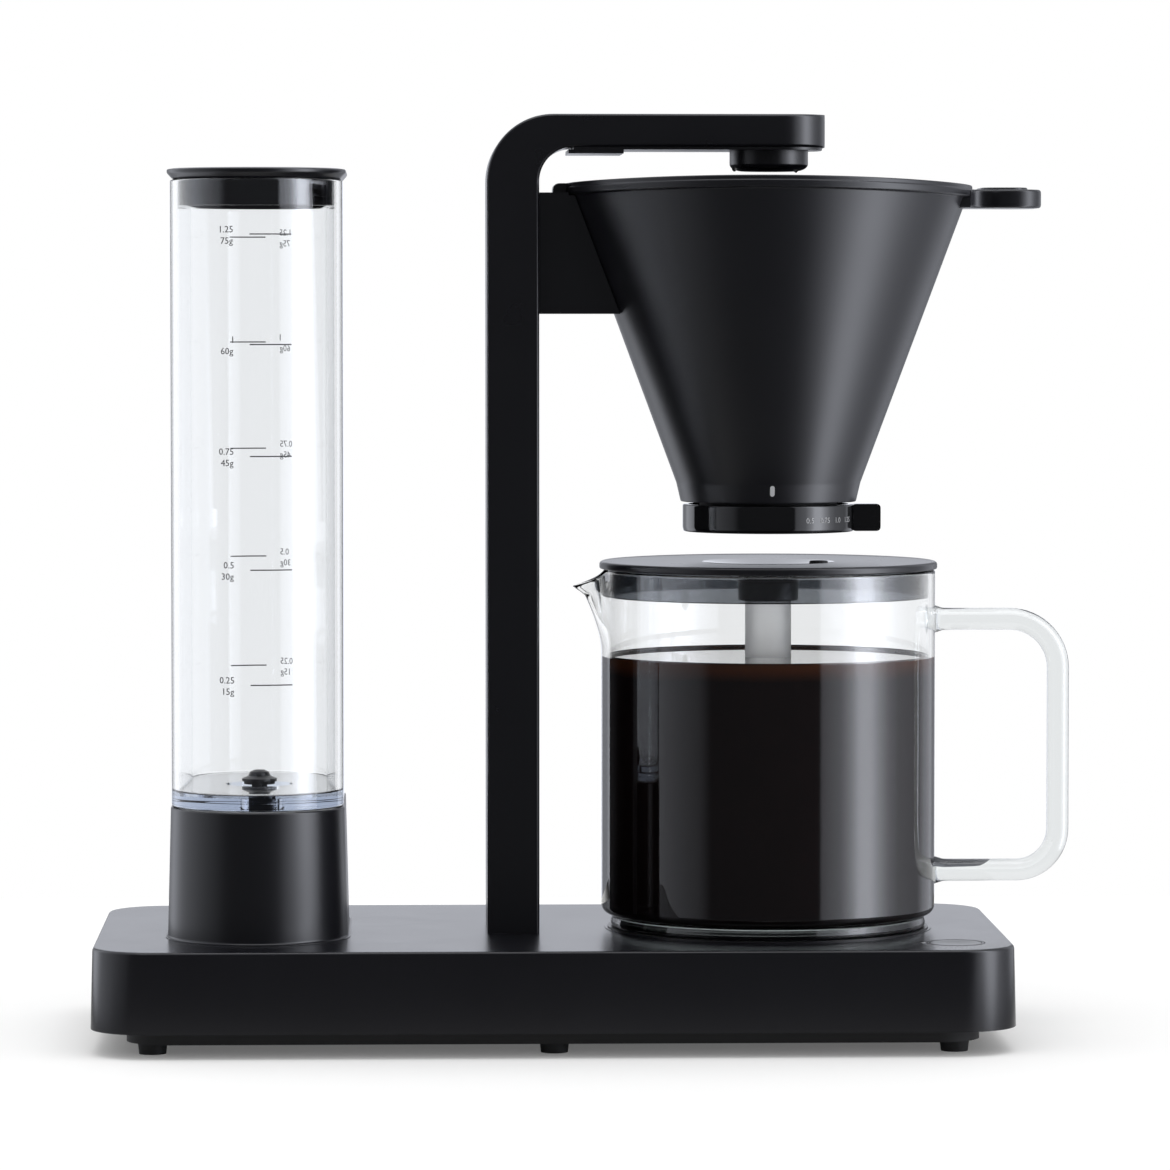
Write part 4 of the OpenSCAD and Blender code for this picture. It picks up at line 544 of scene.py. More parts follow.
# %% Finish the CAD nodes
NODE_FINISH = [
    (base_black, "base_housing plate_gasket"),
    (soft_black, "bottom_cover rubber_feet cord_inlet spigot_seal valve_washer spray_plate "
                 "valve_disc"),
    (screw_steel, "bottom_screws plate_screws heater_clamp clamp_nut hose_clamps button_spring "
                  "socket_screws valve_spring column_clamp column_bolts arm_screws bracket_screws "
                  "ring_clip"),
    (plate_black, "warming_plate"),
    (cast_metal, "flow_heater"),
    (element_steel, "heater_element"),
    (ceramic, "thermostats thermal_fuse"),
    (silicone, "feed_hose riser_hose"),
    (pale_moulding, "check_valve terminal_block spray_nut spray_elbow"),
    (circuit, "control_board switch_board"),
    (component, "board_parts"),
    (satin_black, "power_button tank_socket tank_valve tank_lid column arm_cover basket_bracket "
                  "filter_basket basket_grip carafe_lid"),
    (mark_pale, "light_guide"),
    (clear_plastic, "tank_body"),
    (gloss_black, "spray_head flow_ring"),
    (clear_glass, "carafe_glass carafe_handle"),
    (smoke, "lid_skirt"),
    (frosted, "mixing_tube"),
]
finish_of = {name: finish for finish, names in NODE_FINISH for name in names.split()}
for node_name, node in nodes.items():
    node.data.materials.clear()
    node.data.materials.append(finish_of[node_name])
    node.data.polygons.foreach_set("use_smooth", np.ones(len(node.data.polygons), bool))
    weld = node.modifiers.new("weld", "WELD")
    weld.merge_threshold = 2e-6
    crisp = node.modifiers.new("crisp_edges", "EDGE_SPLIT")
    crisp.split_angle = math.radians(32)
    flat_stays_flat(node)
print("finished nodes:", len(nodes))

# %% [markdown]
# The power button is flush with the deck, so only the narrow gap round it
# shows. The gap's shade is painted: a thin dark matt ring lies over the gap,
# where light doesn't come back.

# %% Painted shade in the gap round the button
low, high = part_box("power_button")
button_x, button_y = (low.x + high.x) / 2 / MM, (low.y + high.y) / 2 / MM
button_r = (high.x - low.x) / 2 / MM
gap_in, gap_out = button_r - 0.1, button_r + 0.35
gap_high, gap_low = DECK_Z + 0.05, DECK_Z - 0.1
gap_shade_profile = [(gap_in, gap_high), (gap_out, gap_high), (gap_out, gap_low), (gap_in, gap_low)]
# painted shade: a thin dark matt ring over the gap round the button
turned("button_gap_painted_shade", gap_shade_profile, button_x, soft_black, "base", "black_rubber", closed=True,
       turns=96, axis_y=button_y)
print("button radius", round(button_r, 2), "deck", DECK_Z)

# %% [markdown]
# ## Column and arm
# One moulding runs up, bends and reaches over the basket. Boxes with bevels
# could be joined for it, but the bend would show a seam, so rings of points
# follow it. Its side view has an outer and an inner line; the section between
# them is a rectangle with rounded edges, 44 mm deep, and the arm's end is
# rounded in plan.

# %% Column and arm
COLUMN_W, COLUMN_D, ARM_T = 19.6, 44.0, 12.3
OUTER_R, INNER_R, END_R = 25.0, 13.0, 17.0
ARM_END = BREW_X + 21.0
ARM_UNDER = TOP_Z - ARM_T


def column_arm(edge=1.2, end_round=2.2, bend=28, tip=22, rim=6):
    """Rings of points along the column, the bend and the arm.

    Ring s joins the outer line O(s) to the inner line I(s). In the ring,
    across runs from I to O and depth runs along Y from -h(s) to h(s); the
    corners are arcs of the edge radius. Near the end h follows the rounded
    plan, h = 5 + sqrt(R^2 - (x - x0)^2), and the last rings shrink by
    e (1 - cos a) while x grows by 0.15 e sin a, which rounds the end's rim.
    """
    x0, x1 = COLUMN_X - COLUMN_W / 2, COLUMN_X + COLUMN_W / 2
    forward = end_round * 0.15
    t = np.linspace(0, np.pi / 2, bend)
    curl = (1, 0) - around(t) * (1, -1)
    outer_bend = (x0, TOP_Z - OUTER_R) + OUTER_R * curl
    inner_bend = (x1, ARM_UNDER - INNER_R) + INNER_R * curl
    a = np.linspace(0, np.pi / 2, tip)
    e = np.linspace(0, np.pi / 2, rim + 1)[1:]
    x_tip = np.minimum(ARM_END - END_R + END_R * np.sin(a), ARM_END - forward)
    x_end = np.concatenate([x_tip, ARM_END - forward + forward * np.sin(e)])
    half = COLUMN_D / 2 - END_R + END_R * np.cos(a)
    foot_z = DECK_Z + 0.02
    outer = np.concatenate([[[x0, foot_z]], outer_bend, coords(x_end, TOP_Z)])
    inner = np.concatenate([[[x1, foot_z]], inner_bend, coords(x_end, ARM_UNDER)])
    h = np.concatenate([np.full(1 + bend, COLUMN_D / 2), half, np.full(rim, half[-1])])
    shrink = np.concatenate([np.zeros(1 + bend + tip), end_round * (1 - np.cos(e))])
    across = outer - inner
    length = np.linalg.norm(across, axis=1)
    unit = across / length[:, None]
    angle = corner_angles(5)
    sp, sq = np.repeat([1, -1, -1, 1], 5), np.repeat([1, 1, -1, -1], 5)
    p = sp * (length / 2 - shrink - edge)[:, None] + edge * np.cos(angle)
    y = sq * (h - shrink - edge)[:, None] + edge * np.sin(angle)
    middle = (outer + inner) / 2
    return coords(middle[:, :1] + unit[:, :1] * p, y, middle[:, 1:] + unit[:, 1:] * p)


rings = column_arm()
make_piece("column_and_arm", rings, capped(*rings.shape[:2]), satin_black, "base",
           ["column"])

# %% [markdown]
# ## Water tank
# The tank is one clear moulding with a stadium section. Its profile goes from
# the spigot out under the floor, up the wall, over the rim, down the inside
# and back over the thick floor to the sump and the valve's hole, so it is a
# closed shell. Solidify on an outline would give the wall, but not the thicker
# floor or the round spigot under it. The socket has a well for the spigot, with the pin that opens
# the valve. It flares slightly, and a small hollow fillet joins it to the
# deck, which catches a thin line of light. The lid's skirt fits in the rim.

# %% Tank, socket and lid
TANK_W, TANK_D, TANK_WALL, TANK_FLOOR = 64.3, 123.0, 2.6, 5.7
middle = (TANK_X, 0.0)
stadium = (TANK_W, TANK_D, TANK_W / 2)
half_w = TANK_W / 2
floor_top = TANK_Z + TANK_FLOOR
tank_profile = fillet([
    (10, TANK_Z), (0, TANK_Z), (0, TANK_RIM_Z), (TANK_WALL, TANK_RIM_Z),
    (TANK_WALL, floor_top), (10, floor_top)], 0.9)
SPIGOT_R, SPIGOT_L, SUMP_R, HOLE_R = 11.0, 12.0, 13.0, 3.5
sump_z, spigot_z, spigot_in = TANK_Z + 2.2, TANK_Z - SPIGOT_L, SPIGOT_R - 3
spigot = [(SUMP_R, floor_top), (SUMP_R, sump_z), (HOLE_R, sump_z), (HOLE_R, TANK_Z),
          (spigot_in, TANK_Z), (spigot_in, spigot_z), (SPIGOT_R, spigot_z), (SPIGOT_R, TANK_Z)]
tank_rows = [(0, inset, z) for inset, z in tank_profile] + [(1, r, z) for r, z in spigot]
holed("tank_shell", stadium, tank_rows, middle, clear_plastic, "tank", "clear_tank", ["tank_body"],
      closed=True)

SOCKET_W = 65.0
grow = -(SOCKET_W - TANK_W) / 2
socket_top = TANK_Z - 0.3
foot = np.linspace(0, np.pi / 2, 7)
hollow_foot = (grow - 2.1, DECK_Z + 1.1) + 0.9 * around(foot) * (1, -1)
socket_profile = np.concatenate([
    [(half_w, DECK_Z + 0.02), (grow - 2.1, DECK_Z + 0.02)], hollow_foot[::-1],
    fillet([(grow - 1.2, DECK_Z + 1.3), (grow, socket_top), (10, socket_top)], 0.9)])
WELL_R, WELL_Z, PIN_R, PIN_TOP = SPIGOT_R + 0.5, socket_top - 19, 2.0, TANK_Z - 8.6
well = [(WELL_R + 0.6, socket_top), (WELL_R, socket_top - 0.6), (WELL_R, WELL_Z), (PIN_R, WELL_Z),
        (PIN_R, PIN_TOP - 0.4), (PIN_R - 0.4, PIN_TOP), (0.0, PIN_TOP)]
socket_rows = [(0, inset, z) for inset, z in socket_profile] + [(1, r, z) for r, z in well]
holed("socket_shell", stadium, socket_rows, middle, socket_black, "base", "black_plastic",
      ["tank_socket"])

lid_low, lid_high = TANK_RIM_Z + 0.2, TANK_RIM_Z + 4.2
skirt_in = TANK_WALL + 0.4
lid_profile = fillet([
    (half_w, lid_high - 0.5), (3.5, lid_high - 0.5), (1.4, lid_high), (-1.2, lid_high - 0.4),
    (-1.2, lid_high - 1.7), (0.9, lid_low), (skirt_in + 1, lid_low), (half_w, lid_low + 1.6)], 0.6)
lofted("tank_cover", stadium, lid_profile, middle, satin_black, "tank_lid", "black_plastic",
       ["tank_lid"])
skirt_out, skirt_z = skirt_in + 2, lid_low - 10.0
rim_profile = [
    (skirt_in, lid_low + 0.3), (skirt_in, skirt_z + 0.3), (skirt_in + 0.3, skirt_z),
    (skirt_out - 0.3, skirt_z), (skirt_out, skirt_z + 0.3), (skirt_out, lid_low + 0.3)]
lofted("tank_cover_skirt", stadium, rim_profile, middle, gloss_black, "tank_lid", "gloss_black",
       closed=True)

# %% [markdown]
# The tank is printed with its volume in litres and the coffee in grams that
# goes with it: a line and two small numbers at each of five levels, once on
# the front and once on the back wall. An image could carry the print, but edges
# of a mesh stay sharp however close the view comes. The numbers are Blender's own letters,
# made a thin solid mesh while they are flat. Every flat point (u, v, w) is
# then wrapped round the wall, so the print follows the curve exactly.


# %% Wrapped print
def wrapped(points, axis_x, axis_y, radius, slope=0.0, turn=0.0):
    """Flat points (u, v, w) on a round wall: u runs round, v is the height, w stands proud.

    The radius there is r = radius + slope * v + w and the angle from the front
    a = u / radius; then x = axis_x + r sin a and y = axis_y - r cos a. A turn
    is added to the angle.
    """
    u, v, w = np.asarray(points, float).T
    r, a = radius + slope * (v - v.mean()) + w, u / radius + turn
    return coords(axis_x + r * np.sin(a), axis_y - r * np.cos(a), v)


def letters(word, high, at, low, anchor=0.5, thick=0.16):
    """A word as thin solid letters: flat points in millimetres, and faces.

    The font's numbers are 0.69 units high, so the scale is high / 0.69. The
    anchor says which part of the width, from 0 to 1, stands at u = at.
    """
    curve = bpy.data.curves.new("word", "FONT")
    curve.body, curve.extrude, curve.resolution_u = word, 0.05, 2
    holder = bpy.data.objects.new("word", curve)
    mesh = bpy.data.meshes.new_from_object(holder)
    co = np.empty(len(mesh.vertices) * 3)
    mesh.vertices.foreach_get("co", co)
    flat = co.reshape(-1, 3) * (high / 0.69, high / 0.69, thick / 0.1)
    left, right = flat[:, 0].min(), flat[:, 0].max()
    flat += (at - left - anchor * (right - left), low, 0)
    corners = [list(f.vertices) for f in mesh.polygons]
    bpy.data.objects.remove(holder)
    bpy.data.curves.remove(curve)
    bpy.data.meshes.remove(mesh)
    return flat, corners


def bar(u0, u1, v0, v1, thick=0.16, parts=12):
    """A thin straight bar: its section's four corners carried from u0 to u1."""
    v, w = [v0, v1, v1, v0], np.array([-1, -1, 1, 1]) * thick / 2
    return coords(np.linspace(u0, u1, parts)[:, None], v, w).reshape(-1, 3), capped(parts, 4)


def joined(parts):
    """Several meshes as one: the faces of each move on by the points before it."""
    starts = np.cumsum([0] + [len(points) for points, _ in parts])
    points = np.concatenate([points for points, _ in parts])
    moved = zip(starts.tolist(), (faces for _, faces in parts))
    return points, [[v + k for v in f] for k, faces in moved for f in faces]


LEVELS = [(302.0, "1.25", "75g"), (261.4, "1", "60g"), (220.2, "0.75", "45g"),
          (178.3, "0.5", "30g"), (135.8, "0.25", "15g")]
TEXT_HIGH, TEXT_RIGHT = 2.4, -8.0
tank_print = []
for z, litres, grams in LEVELS:
    tank_print += [bar(-1.8, 13.9, z - 0.22, z + 0.22),
                   letters(litres, TEXT_HIGH, TEXT_RIGHT, z + 0.6, 1.0),
                   letters(grams, TEXT_HIGH, TEXT_RIGHT, z - 3.6, 1.0)]
flat_print, print_faces = joined(tank_print)
end_y = (TANK_D - TANK_W) / 2
for side, axis_y, turn in (("front", -end_y, 0.0), ("back", end_y, math.pi)):
    on_wall = wrapped(flat_print, TANK_X, axis_y, half_w + 0.02, turn=turn)
    make_piece(f"tank_marks_{side}", on_wall, print_faces, mark_dark, "tank")

# %% [markdown]
# ## Basket, ring and spray head
# The basket is a cone with a stepped rim, a thumb handle on the right and a
# tongue on the left that hangs in the bracket. The ring below it turns. A cone
# from the Add menu has one straight side and no wall. A turned profile gives
# the step and the wall, and a formula then bows the rim down at both sides.

# %% Filter basket
BASKET_Z = RIM_Z - 122.2
SKIRT_Z = BASKET_Z + 7.1
CONE_Z = RIM_Z - 4.5
RIM_R = 77.5
CONE_TOP_D, CONE_LOW_D = 152.0, 69.8
SLOPE = (CONE_TOP_D - CONE_LOW_D) / 2 / (CONE_Z - SKIRT_Z)
HANDLE_DIP, TONGUE_DIP = 2.8, 1.8


def bow(grid):
    """Let the rim bow down towards the handle and the tongue.

    The drop at x is A (x/R)^2 + B x/R, which is the handle's dip at x = R and
    the tongue's at x = -R. It fades to nothing at the foot of the cone, and
    what lies on the cone's walls slides along their slope.
    """
    x = (grid[..., 0] - BREW_X) / RIM_R
    drop = (HANDLE_DIP + TONGUE_DIP) / 2 * x**2 + (HANDLE_DIP - TONGUE_DIP) / 2 * x
    drop = drop * np.clip((grid[..., 2] - SKIRT_Z) / (CONE_Z - SKIRT_Z), 0, 1)
    radius = np.hypot(grid[..., 0] - BREW_X, grid[..., 1])
    slide = np.where(radius < CONE_TOP_D / 2 + 0.1, SLOPE * drop, 0) / np.maximum(radius, 1)
    grid[..., 0] -= (grid[..., 0] - BREW_X) * slide
    grid[..., 1] -= grid[..., 1] * slide
    grid[..., 2] -= drop
    return grid


basket_profile = np.concatenate([
    [(0.0, BASKET_Z)],
    fillet([(33.0, BASKET_Z), (33.3, BASKET_Z + 0.2), (34.9, SKIRT_Z), (75.9, CONE_Z - 0.2),
            (77.1, CONE_Z), (RIM_R, CONE_Z + 0.5), (RIM_R, RIM_Z - 1.9), (77.0, RIM_Z - 1.75),
            (76.9, RIM_Z - 0.1), (75.4, RIM_Z - 0.1), (73.7, CONE_Z), (32.55, SKIRT_Z),
            (30.9, BASKET_Z + 2.2)], 0.6),
    [(0.0, BASKET_Z + 2.2)]])
cone_grid = bow(turned_points(basket_profile, BREW_X, turns=192))
make_piece("basket_cone", cone_grid, grid_quads(len(basket_profile), 192, close_cols=True),
           cone_black, "basket", ["filter_basket"])


def ribs(count=12, thick=1.6):
    """Drainage ribs: one flat bar in the plane of radius and height, copied round.

    Each bar is a closed band of corners (r, z) at -thick/2 and +thick/2, and
    copy k is turned by k / count of a full turn.
    """
    rib = np.array([[31.2, BASKET_Z + 2.3], [32.9, SKIRT_Z], [70.3, CONE_Z - 10],
                    [68.2, CONE_Z - 10], [31.0, SKIRT_Z], [29.6, BASKET_Z + 2.3]])
    turn = np.arange(count)[:, None, None] * 2 * np.pi / count
    r, z = rib.T
    across = np.array([[-thick / 2], [thick / 2]])
    c, s = np.cos(turn), np.sin(turn)
    return coords(BREW_X + c * r - s * across, s * r + c * across, z)


sides = [[0, 1, 4, 5], [1, 2, 3, 4], [6, 7, 10, 11], [7, 8, 9, 10]]
one_rib = grid_quads(2, 6, close_cols=True).tolist() + sides
rib_points, rib_faces = joined([(rib.reshape(-1, 3), one_rib) for rib in ribs()])
make_piece("basket_ribs", rib_points, rib_faces, satin_black, "basket")


# %% [markdown]
# The thumb handle is a flat paddle that stands out from the cone on the right,
# with a thin pad on top. A box with a bevel would give the slab, but not the
# hollow curves with which it leaves the rim. So its outline is drawn from arcs
# that touch each other, and a rounded edge is carried along it. The outline
# starts and ends inside the cone's wall.


# %% Thumb handle
def handle_plan(neck=6.0, corner=11.0, arc=14):
    """Outline of the thumb handle from the cone out and back, in X from the axis and Y.

    A circle of the neck's radius lies outside the rim and the handle's near
    corner and touches both, so its centre is where circles of the summed
    radii round their centres cross. The outline follows it, then the corners.
    """
    near, far, side = np.array([90.5, 8.0]), np.array([91.5, 8.0]), corner + neck
    reach = np.linalg.norm(near)
    along = ((RIM_R + neck) ** 2 - side**2 + reach**2) / (2 * reach)
    off = math.sqrt((RIM_R + neck) ** 2 - along**2)
    unit = near / reach
    hollow = along * unit + off * np.array([-unit[1], unit[0]])
    touch = math.atan2(*(near - hollow)[::-1])
    a = np.linspace(np.pi, 2 * np.pi + touch, arc)
    b = np.linspace(np.pi + touch, np.pi / 2, arc)
    c = np.linspace(np.pi / 2, 0, arc)
    half = np.concatenate([
        [(70.0, hollow[1])],
        hollow + neck * around(a), near + corner * around(b), far + corner * around(c)])
    return np.concatenate([half, half[::-1] * [1, -1]])


HANDLE_Z = RIM_Z - HANDLE_DIP - 8.6
plan = handle_plan()
step = np.roll(plan, -1, 0) - np.roll(plan, 1, 0)
inward = coords(step[:, 1], -step[:, 0]) / np.linalg.norm(step, axis=1)[:, None]
inward[[0, -1]] = 0
HANDLE_T = 7.0
edge = fillet([(3.0, 0.0), (0.0, 0.0), (0.0, HANDLE_T), (3.0, HANDLE_T)], 1.3)
inset, height = edge[1:-1].T
# the outline's first and last points end inside the cone's wall
WALL_R, SUNK = 74.9, 0.9
grip_x, grip_y = np.moveaxis(plan + inset[:, None, None] * inward, -1, 0)
grip_z = HANDLE_Z + height[:, None]
root = np.sqrt((WALL_R + SLOPE * (grip_z - CONE_Z) - SUNK) ** 2 - grip_y**2)
grip_x[:, [0, -1]] = root[:, [0, -1]]
make_piece("thumb_handle", coords(BREW_X + grip_x, grip_y, grip_z), capped(len(height), len(plan)),
           cone_black, "basket", ["basket_grip"])
pad_low, pad_high = HANDLE_Z + HANDLE_T - 0.4, HANDLE_Z + HANDLE_T + 0.8
pad_profile = fillet([(9.0, pad_low), (0.0, pad_low), (0.3, pad_high), (9.0, pad_high)], 0.5)
lofted("handle_pad", (18.0, 30.0, 7.0), pad_profile, (BREW_X + 88.5, 0.0), satin_black, "basket",
       "black_plastic")


# %% [markdown]
# The tongue is a plate with rounded corners, and low wings at its foot keep it
# in the bracket's slot. Boxes with bevels would do for both. But each looks the
# same in every section from front to back, so its side view is drawn once and
# carried across.


# %% Tongue of the basket
def prism(name, plate, half, finish, body):
    """A plate whose outline lies in X and Z, carried from -half to half along Y."""
    x, z = np.asarray(plate, float).T
    grid = coords(x, [[-half], [half]], z)
    return make_piece(name, grid, capped(2, len(x)), finish, body)


tongue_x = BREW_X - 81.9
wing_z = RIM_Z - 11.6
tongue_top = RIM_Z - TONGUE_DIP - 0.2
tongue_outline = fillet([
    (tongue_x + 8, wing_z), (tongue_x, wing_z), (tongue_x, tongue_top), (tongue_x + 12, tongue_top),
    (tongue_x + 12, wing_z)], 2.6, steps=7)
prism("basket_tongue", tongue_outline, 8, satin_black, "basket")
wing_outline = [(tongue_x, wing_z), (tongue_x, wing_z + 2.7), (tongue_x + 9.0, wing_z + 2.7),
                (tongue_x + 8.0, wing_z)]
prism("tongue_wings", wing_outline, 11, satin_black, "basket")

# %% [markdown]
# The ring under the cone sets how fast the coffee runs out, to suit the litres
# brewed, and a short lever turns it. It is turned from its section, with a web
# that closes it inside. Its numbers are wrapped round it like the print on the
# tank. They ride on the ring, and the pale mark they are read against rides on
# the basket, so the two move apart when the ring turns.

# %% Flow ring and its lever
RING_R, RING_IN = 32.55, 30.35
ring_profile = fillet([
    (RING_IN, RING_TOP), (RING_IN, RING_Z), (32.2, RING_Z), (RING_R, RING_Z + 1.5),
    (RING_R, RING_TOP - 0.4), (32.3, RING_TOP), (RING_IN, RING_TOP)], 0.5)
turned("flow_ring_shell", ring_profile, BREW_X, gloss_black, "flow_ring", "gloss_black",
       ["flow_ring"], turns=160)
WEB_R, HUB_R = 30.5, 4.1
WEB_TOP, WEB_LOW, HUB_LOW = 199.3, 197.1, 190.4
web_profile = [(0, WEB_TOP), (WEB_R, WEB_TOP), (WEB_R, WEB_LOW), (HUB_R, WEB_LOW),
               (HUB_R, HUB_LOW), (0, HUB_LOW)]
turned("ring_web", web_profile, BREW_X, soft_black, "flow_ring", "black_rubber")
NUMBER_HIGH, NUMBER_Z = 2.0, 194.1
numbers = [letters(word, NUMBER_HIGH, math.radians(a) * RING_R, NUMBER_Z)
           for word, a in (("0.5", 25.4), ("0.75", 37.6), ("1.0", 50.2), ("1.25", 62.6))]
flat_numbers, number_faces = joined(numbers)
make_piece("ring_numbers", wrapped(flat_numbers, BREW_X, 0.0, RING_R + 0.01), number_faces,
           mark_pale, "flow_ring")
MARK_U, MARK_Z, MARK_WALL_R, MARK_SLOPE = -0.6, 206.3, 34.37, 0.232
pill_u, pill_v = outline(1.7, 4.0, 0.84, [0.0], arc=8)[0].T
layers = coords(pill_u + MARK_U, pill_v + MARK_Z, [[-0.25], [0.12]]).reshape(-1, 3)
make_piece("index_mark", wrapped(layers, BREW_X, 0.0, MARK_WALL_R, MARK_SLOPE),
           capped(2, len(pill_u)), mark_pale, "basket")
lever_in, lever_out = BREW_X + RING_R - 1.05, BREW_X + RING_R + 10.0
lever_outline = fillet([
    (BREW_X + 35, RING_TOP), (lever_in, RING_TOP), (lever_in, RING_Z), (lever_out, RING_Z),
    (lever_out, RING_TOP), (BREW_X + 35, RING_TOP)], 1.7)
prism("ring_lever", lever_outline, 3, gloss_black, "flow_ring")

# %% [markdown]
# The spray head spreads hot water over the coffee. A cylinder with a bevel
# would come close, but its lower edge is a quarter of an ellipse, wider than
# it is high, so it is turned from a profile. The middle is set back for the
# plate with the holes.

# %% Spray head
SPRAY_Z = ARM_UNDER - 1.0 - 7.8
q = np.linspace(0, np.pi / 2, 10)
dome = coords(9.6 + 5.25 * np.sin(q), SPRAY_Z + 2.7 * (1 - np.cos(q)))
spray_profile = np.concatenate([
    [(0.0, SPRAY_Z + 2.0), (9.3, SPRAY_Z + 2.0)], dome,
    [(14.85, ARM_UNDER - 0.3), (14.6, ARM_UNDER - 0.03), (0.0, ARM_UNDER - 0.03)]])
turned("spray_shell", spray_profile, BREW_X, satin_black, "base", "gloss_black", ["spray_head"])

# %% [markdown]
# A machine in use is never quite dry: steam leaves a few drops under the arm
# and on the spray head. A drop is turned from a quarter ellipse.


# %% Water drops
def drop(name, x, y, z, r, hang):
    """A hanging drop: radius r cos t and height z - hang sin t, closed on top."""
    t = np.linspace(0, np.pi / 2, 9)
    profile = np.concatenate([[(0.0, z)], coords(r * np.cos(t), z - hang * np.sin(t))])
    return turned(name, profile, x, water, "base", "clear_guide", turns=32, axis_y=y)


drop("drop_left", BREW_X - 13.2, -3.0, SPRAY_Z + 1.4, 1.0, 1.5)
drop("drop_right", BREW_X + 9.9, -6.0, SPRAY_Z + 0.9, 0.9, 1.5)
drop("drop_arm", BREW_X - 18.0, -4.0, ARM_UNDER + 0.05, 2.3, 1.0)
drop("drop_arm_small", BREW_X - 27.2, 1.0, ARM_UNDER + 0.05, 1.3, 0.7)

# %% [markdown]
# ## Carafe
# The glass is blown, so its wall is one smooth surface: a cylinder with a
# rounded heel and a foot ring, pulled out at the rim into a spout. The pull
# fades with the angle from -X and with the depth below the rim. Proportional
# editing would do the same by eye; the formula moves outer and inner wall
# together, so the glass keeps its thickness.

# %% Carafe glass
GLASS_R, GLASS_WALL = 63.35, 2.2
HEEL_R, FLAT_R, BOTTOM_Z = 60.4, 50.0, PLATE_Z + 6.6
TIP_OUT, TIP_DROP, PULL_DEEP = 11.3, 6.2, 30.0
CARAFE_TURNS = 256


def pull_spout(r, z, a):
    """Radius and height of the wall after the spout is pulled.

    With d the angle from -X and u the depth below the rim over the spout's
    height, the wall moves out by out * exp(-(d/w)^2) * (1 - u)^1.5, where
    the width w narrows upwards, and the rim drops by drop * exp(-(d/0.12)^2).
    """
    d = np.abs(np.angle(np.exp(1j * (a - np.pi))))
    u = np.clip((CARAFE_RIM_Z - z) / PULL_DEEP, 0, 1)
    w = 0.085 + 0.12 * u
    out = TIP_OUT * np.exp(-((d / w) ** 2)) * (1 - u) ** 1.5
    fall = TIP_DROP * np.exp(-((d / 0.12) ** 2)) * np.clip(1 - u * 3, 0, 1)
    return r + out, z - fall


def carafe_grid(profile, turns=CARAFE_TURNS):
    """The turned grid with its spout, angles packed closer near -X."""
    t = np.linspace(0, 2 * np.pi, turns, endpoint=False)
    a = t + 0.55 * np.sin(t)
    r, z = np.asarray(profile, float).T[..., None]
    r2, z2 = pull_spout(r, z, a)
    r2 = np.where(r > FLAT_R, r2, r)
    return coords(BREW_X + r2 * np.cos(a), r2 * np.sin(a), z2)


wall_rows = np.linspace(CARAFE_RIM_Z - 36, CARAFE_RIM_Z - 1.4, 26)
inner_r = GLASS_R - GLASS_WALL
lip = [(GLASS_R, CARAFE_RIM_Z - 0.7), (GLASS_R - 0.4, CARAFE_RIM_Z - 0.15),
       (GLASS_R - 1.1, CARAFE_RIM_Z), (GLASS_R - 1.8, CARAFE_RIM_Z - 0.15),
       (inner_r, CARAFE_RIM_Z - 0.7)]
t = np.linspace(np.pi / 2, 0, 12)
heel = np.concatenate([
    fillet([(0, PLATE_Z + 1.4), (56.4, PLATE_Z + 1.4), (56.6, PLATE_Z + 0.1), (59.6, PLATE_Z + 0.1),
            (59.9, PLATE_Z + 1.6), (59.3, PLATE_Z + 4.2), (HEEL_R, PLATE_Z + 5.0)], 0.7),
    coords(HEEL_R + (GLASS_R - HEEL_R) * np.cos(t), PLATE_Z + 8.2 - 3.2 * np.sin(t))[1:],
    [(GLASS_R, PLATE_Z + 40)]])
inside = fillet([(inner_r, PLATE_Z + 40), (inner_r, BOTTOM_Z), (FLAT_R, BOTTOM_Z), (0, BOTTOM_Z)],
                3.2, steps=9)
glass_profile = np.concatenate([
    heel, coords(GLASS_R, wall_rows), lip, coords(inner_r, wall_rows[::-1]), inside])
make_piece("carafe_shell", carafe_grid(glass_profile),
           grid_quads(len(glass_profile), CARAFE_TURNS, close_cols=True), clear_glass, "carafe",
           ["carafe_glass"], smooth=50)


# %% [markdown]
# The handle is a glass rod, bent twice and melted onto the wall, where it
# thickens. A curve with a bevel depth could make it too. Rings of points along
# the line make the swelling at its ends as easy, and as the line stays in one
# plane, they can't twist.


# %% Glass handle
ROD_R, ROD_POINTS = 4.2, 32


def handle_path(samples=16):
    """Centre line of the handle in X and Z: out, a quarter arc down, another back, and in."""
    out_x = BREW_X + 114.7 - ROD_R
    high, low = PLATE_Z + 116.5, PLATE_Z + 20.8
    rh, rl = 18.6, 15.8
    root = BREW_X + GLASS_R - 0.6
    t = np.linspace(0, np.pi / 2, samples)
    top = coords(out_x - rh + rh * np.sin(t), high - rh + rh * np.cos(t))
    base = coords(out_x - rl + rl * np.cos(t), low + rl - rl * np.sin(t))
    first = coords(np.linspace(root, out_x - rh, 8, endpoint=False), high)
    last = coords(np.linspace(out_x - rl, root, 9)[1:], low)
    return np.concatenate([first, top, base, last])


def swept_rod(line, radius, points=ROD_POINTS):
    """A rod round a line in the XZ plane.

    The section's circle is spanned by Y and by the in-plane normal n, which
    is the line's direction turned by a quarter: P + r (n cos b + Y sin b).
    """
    step = np.gradient(line, axis=0)
    step /= np.linalg.norm(step, axis=1)[:, None]
    n = coords(-step[:, 1], step[:, 0])
    b = np.linspace(0, 2 * np.pi, points, endpoint=False)
    r = radius[:, None]
    x = line[:, :1] + n[:, :1] * r * np.cos(b)
    z = line[:, 1:] + n[:, 1:] * r * np.cos(b)
    return coords(x, r * np.sin(b), z)


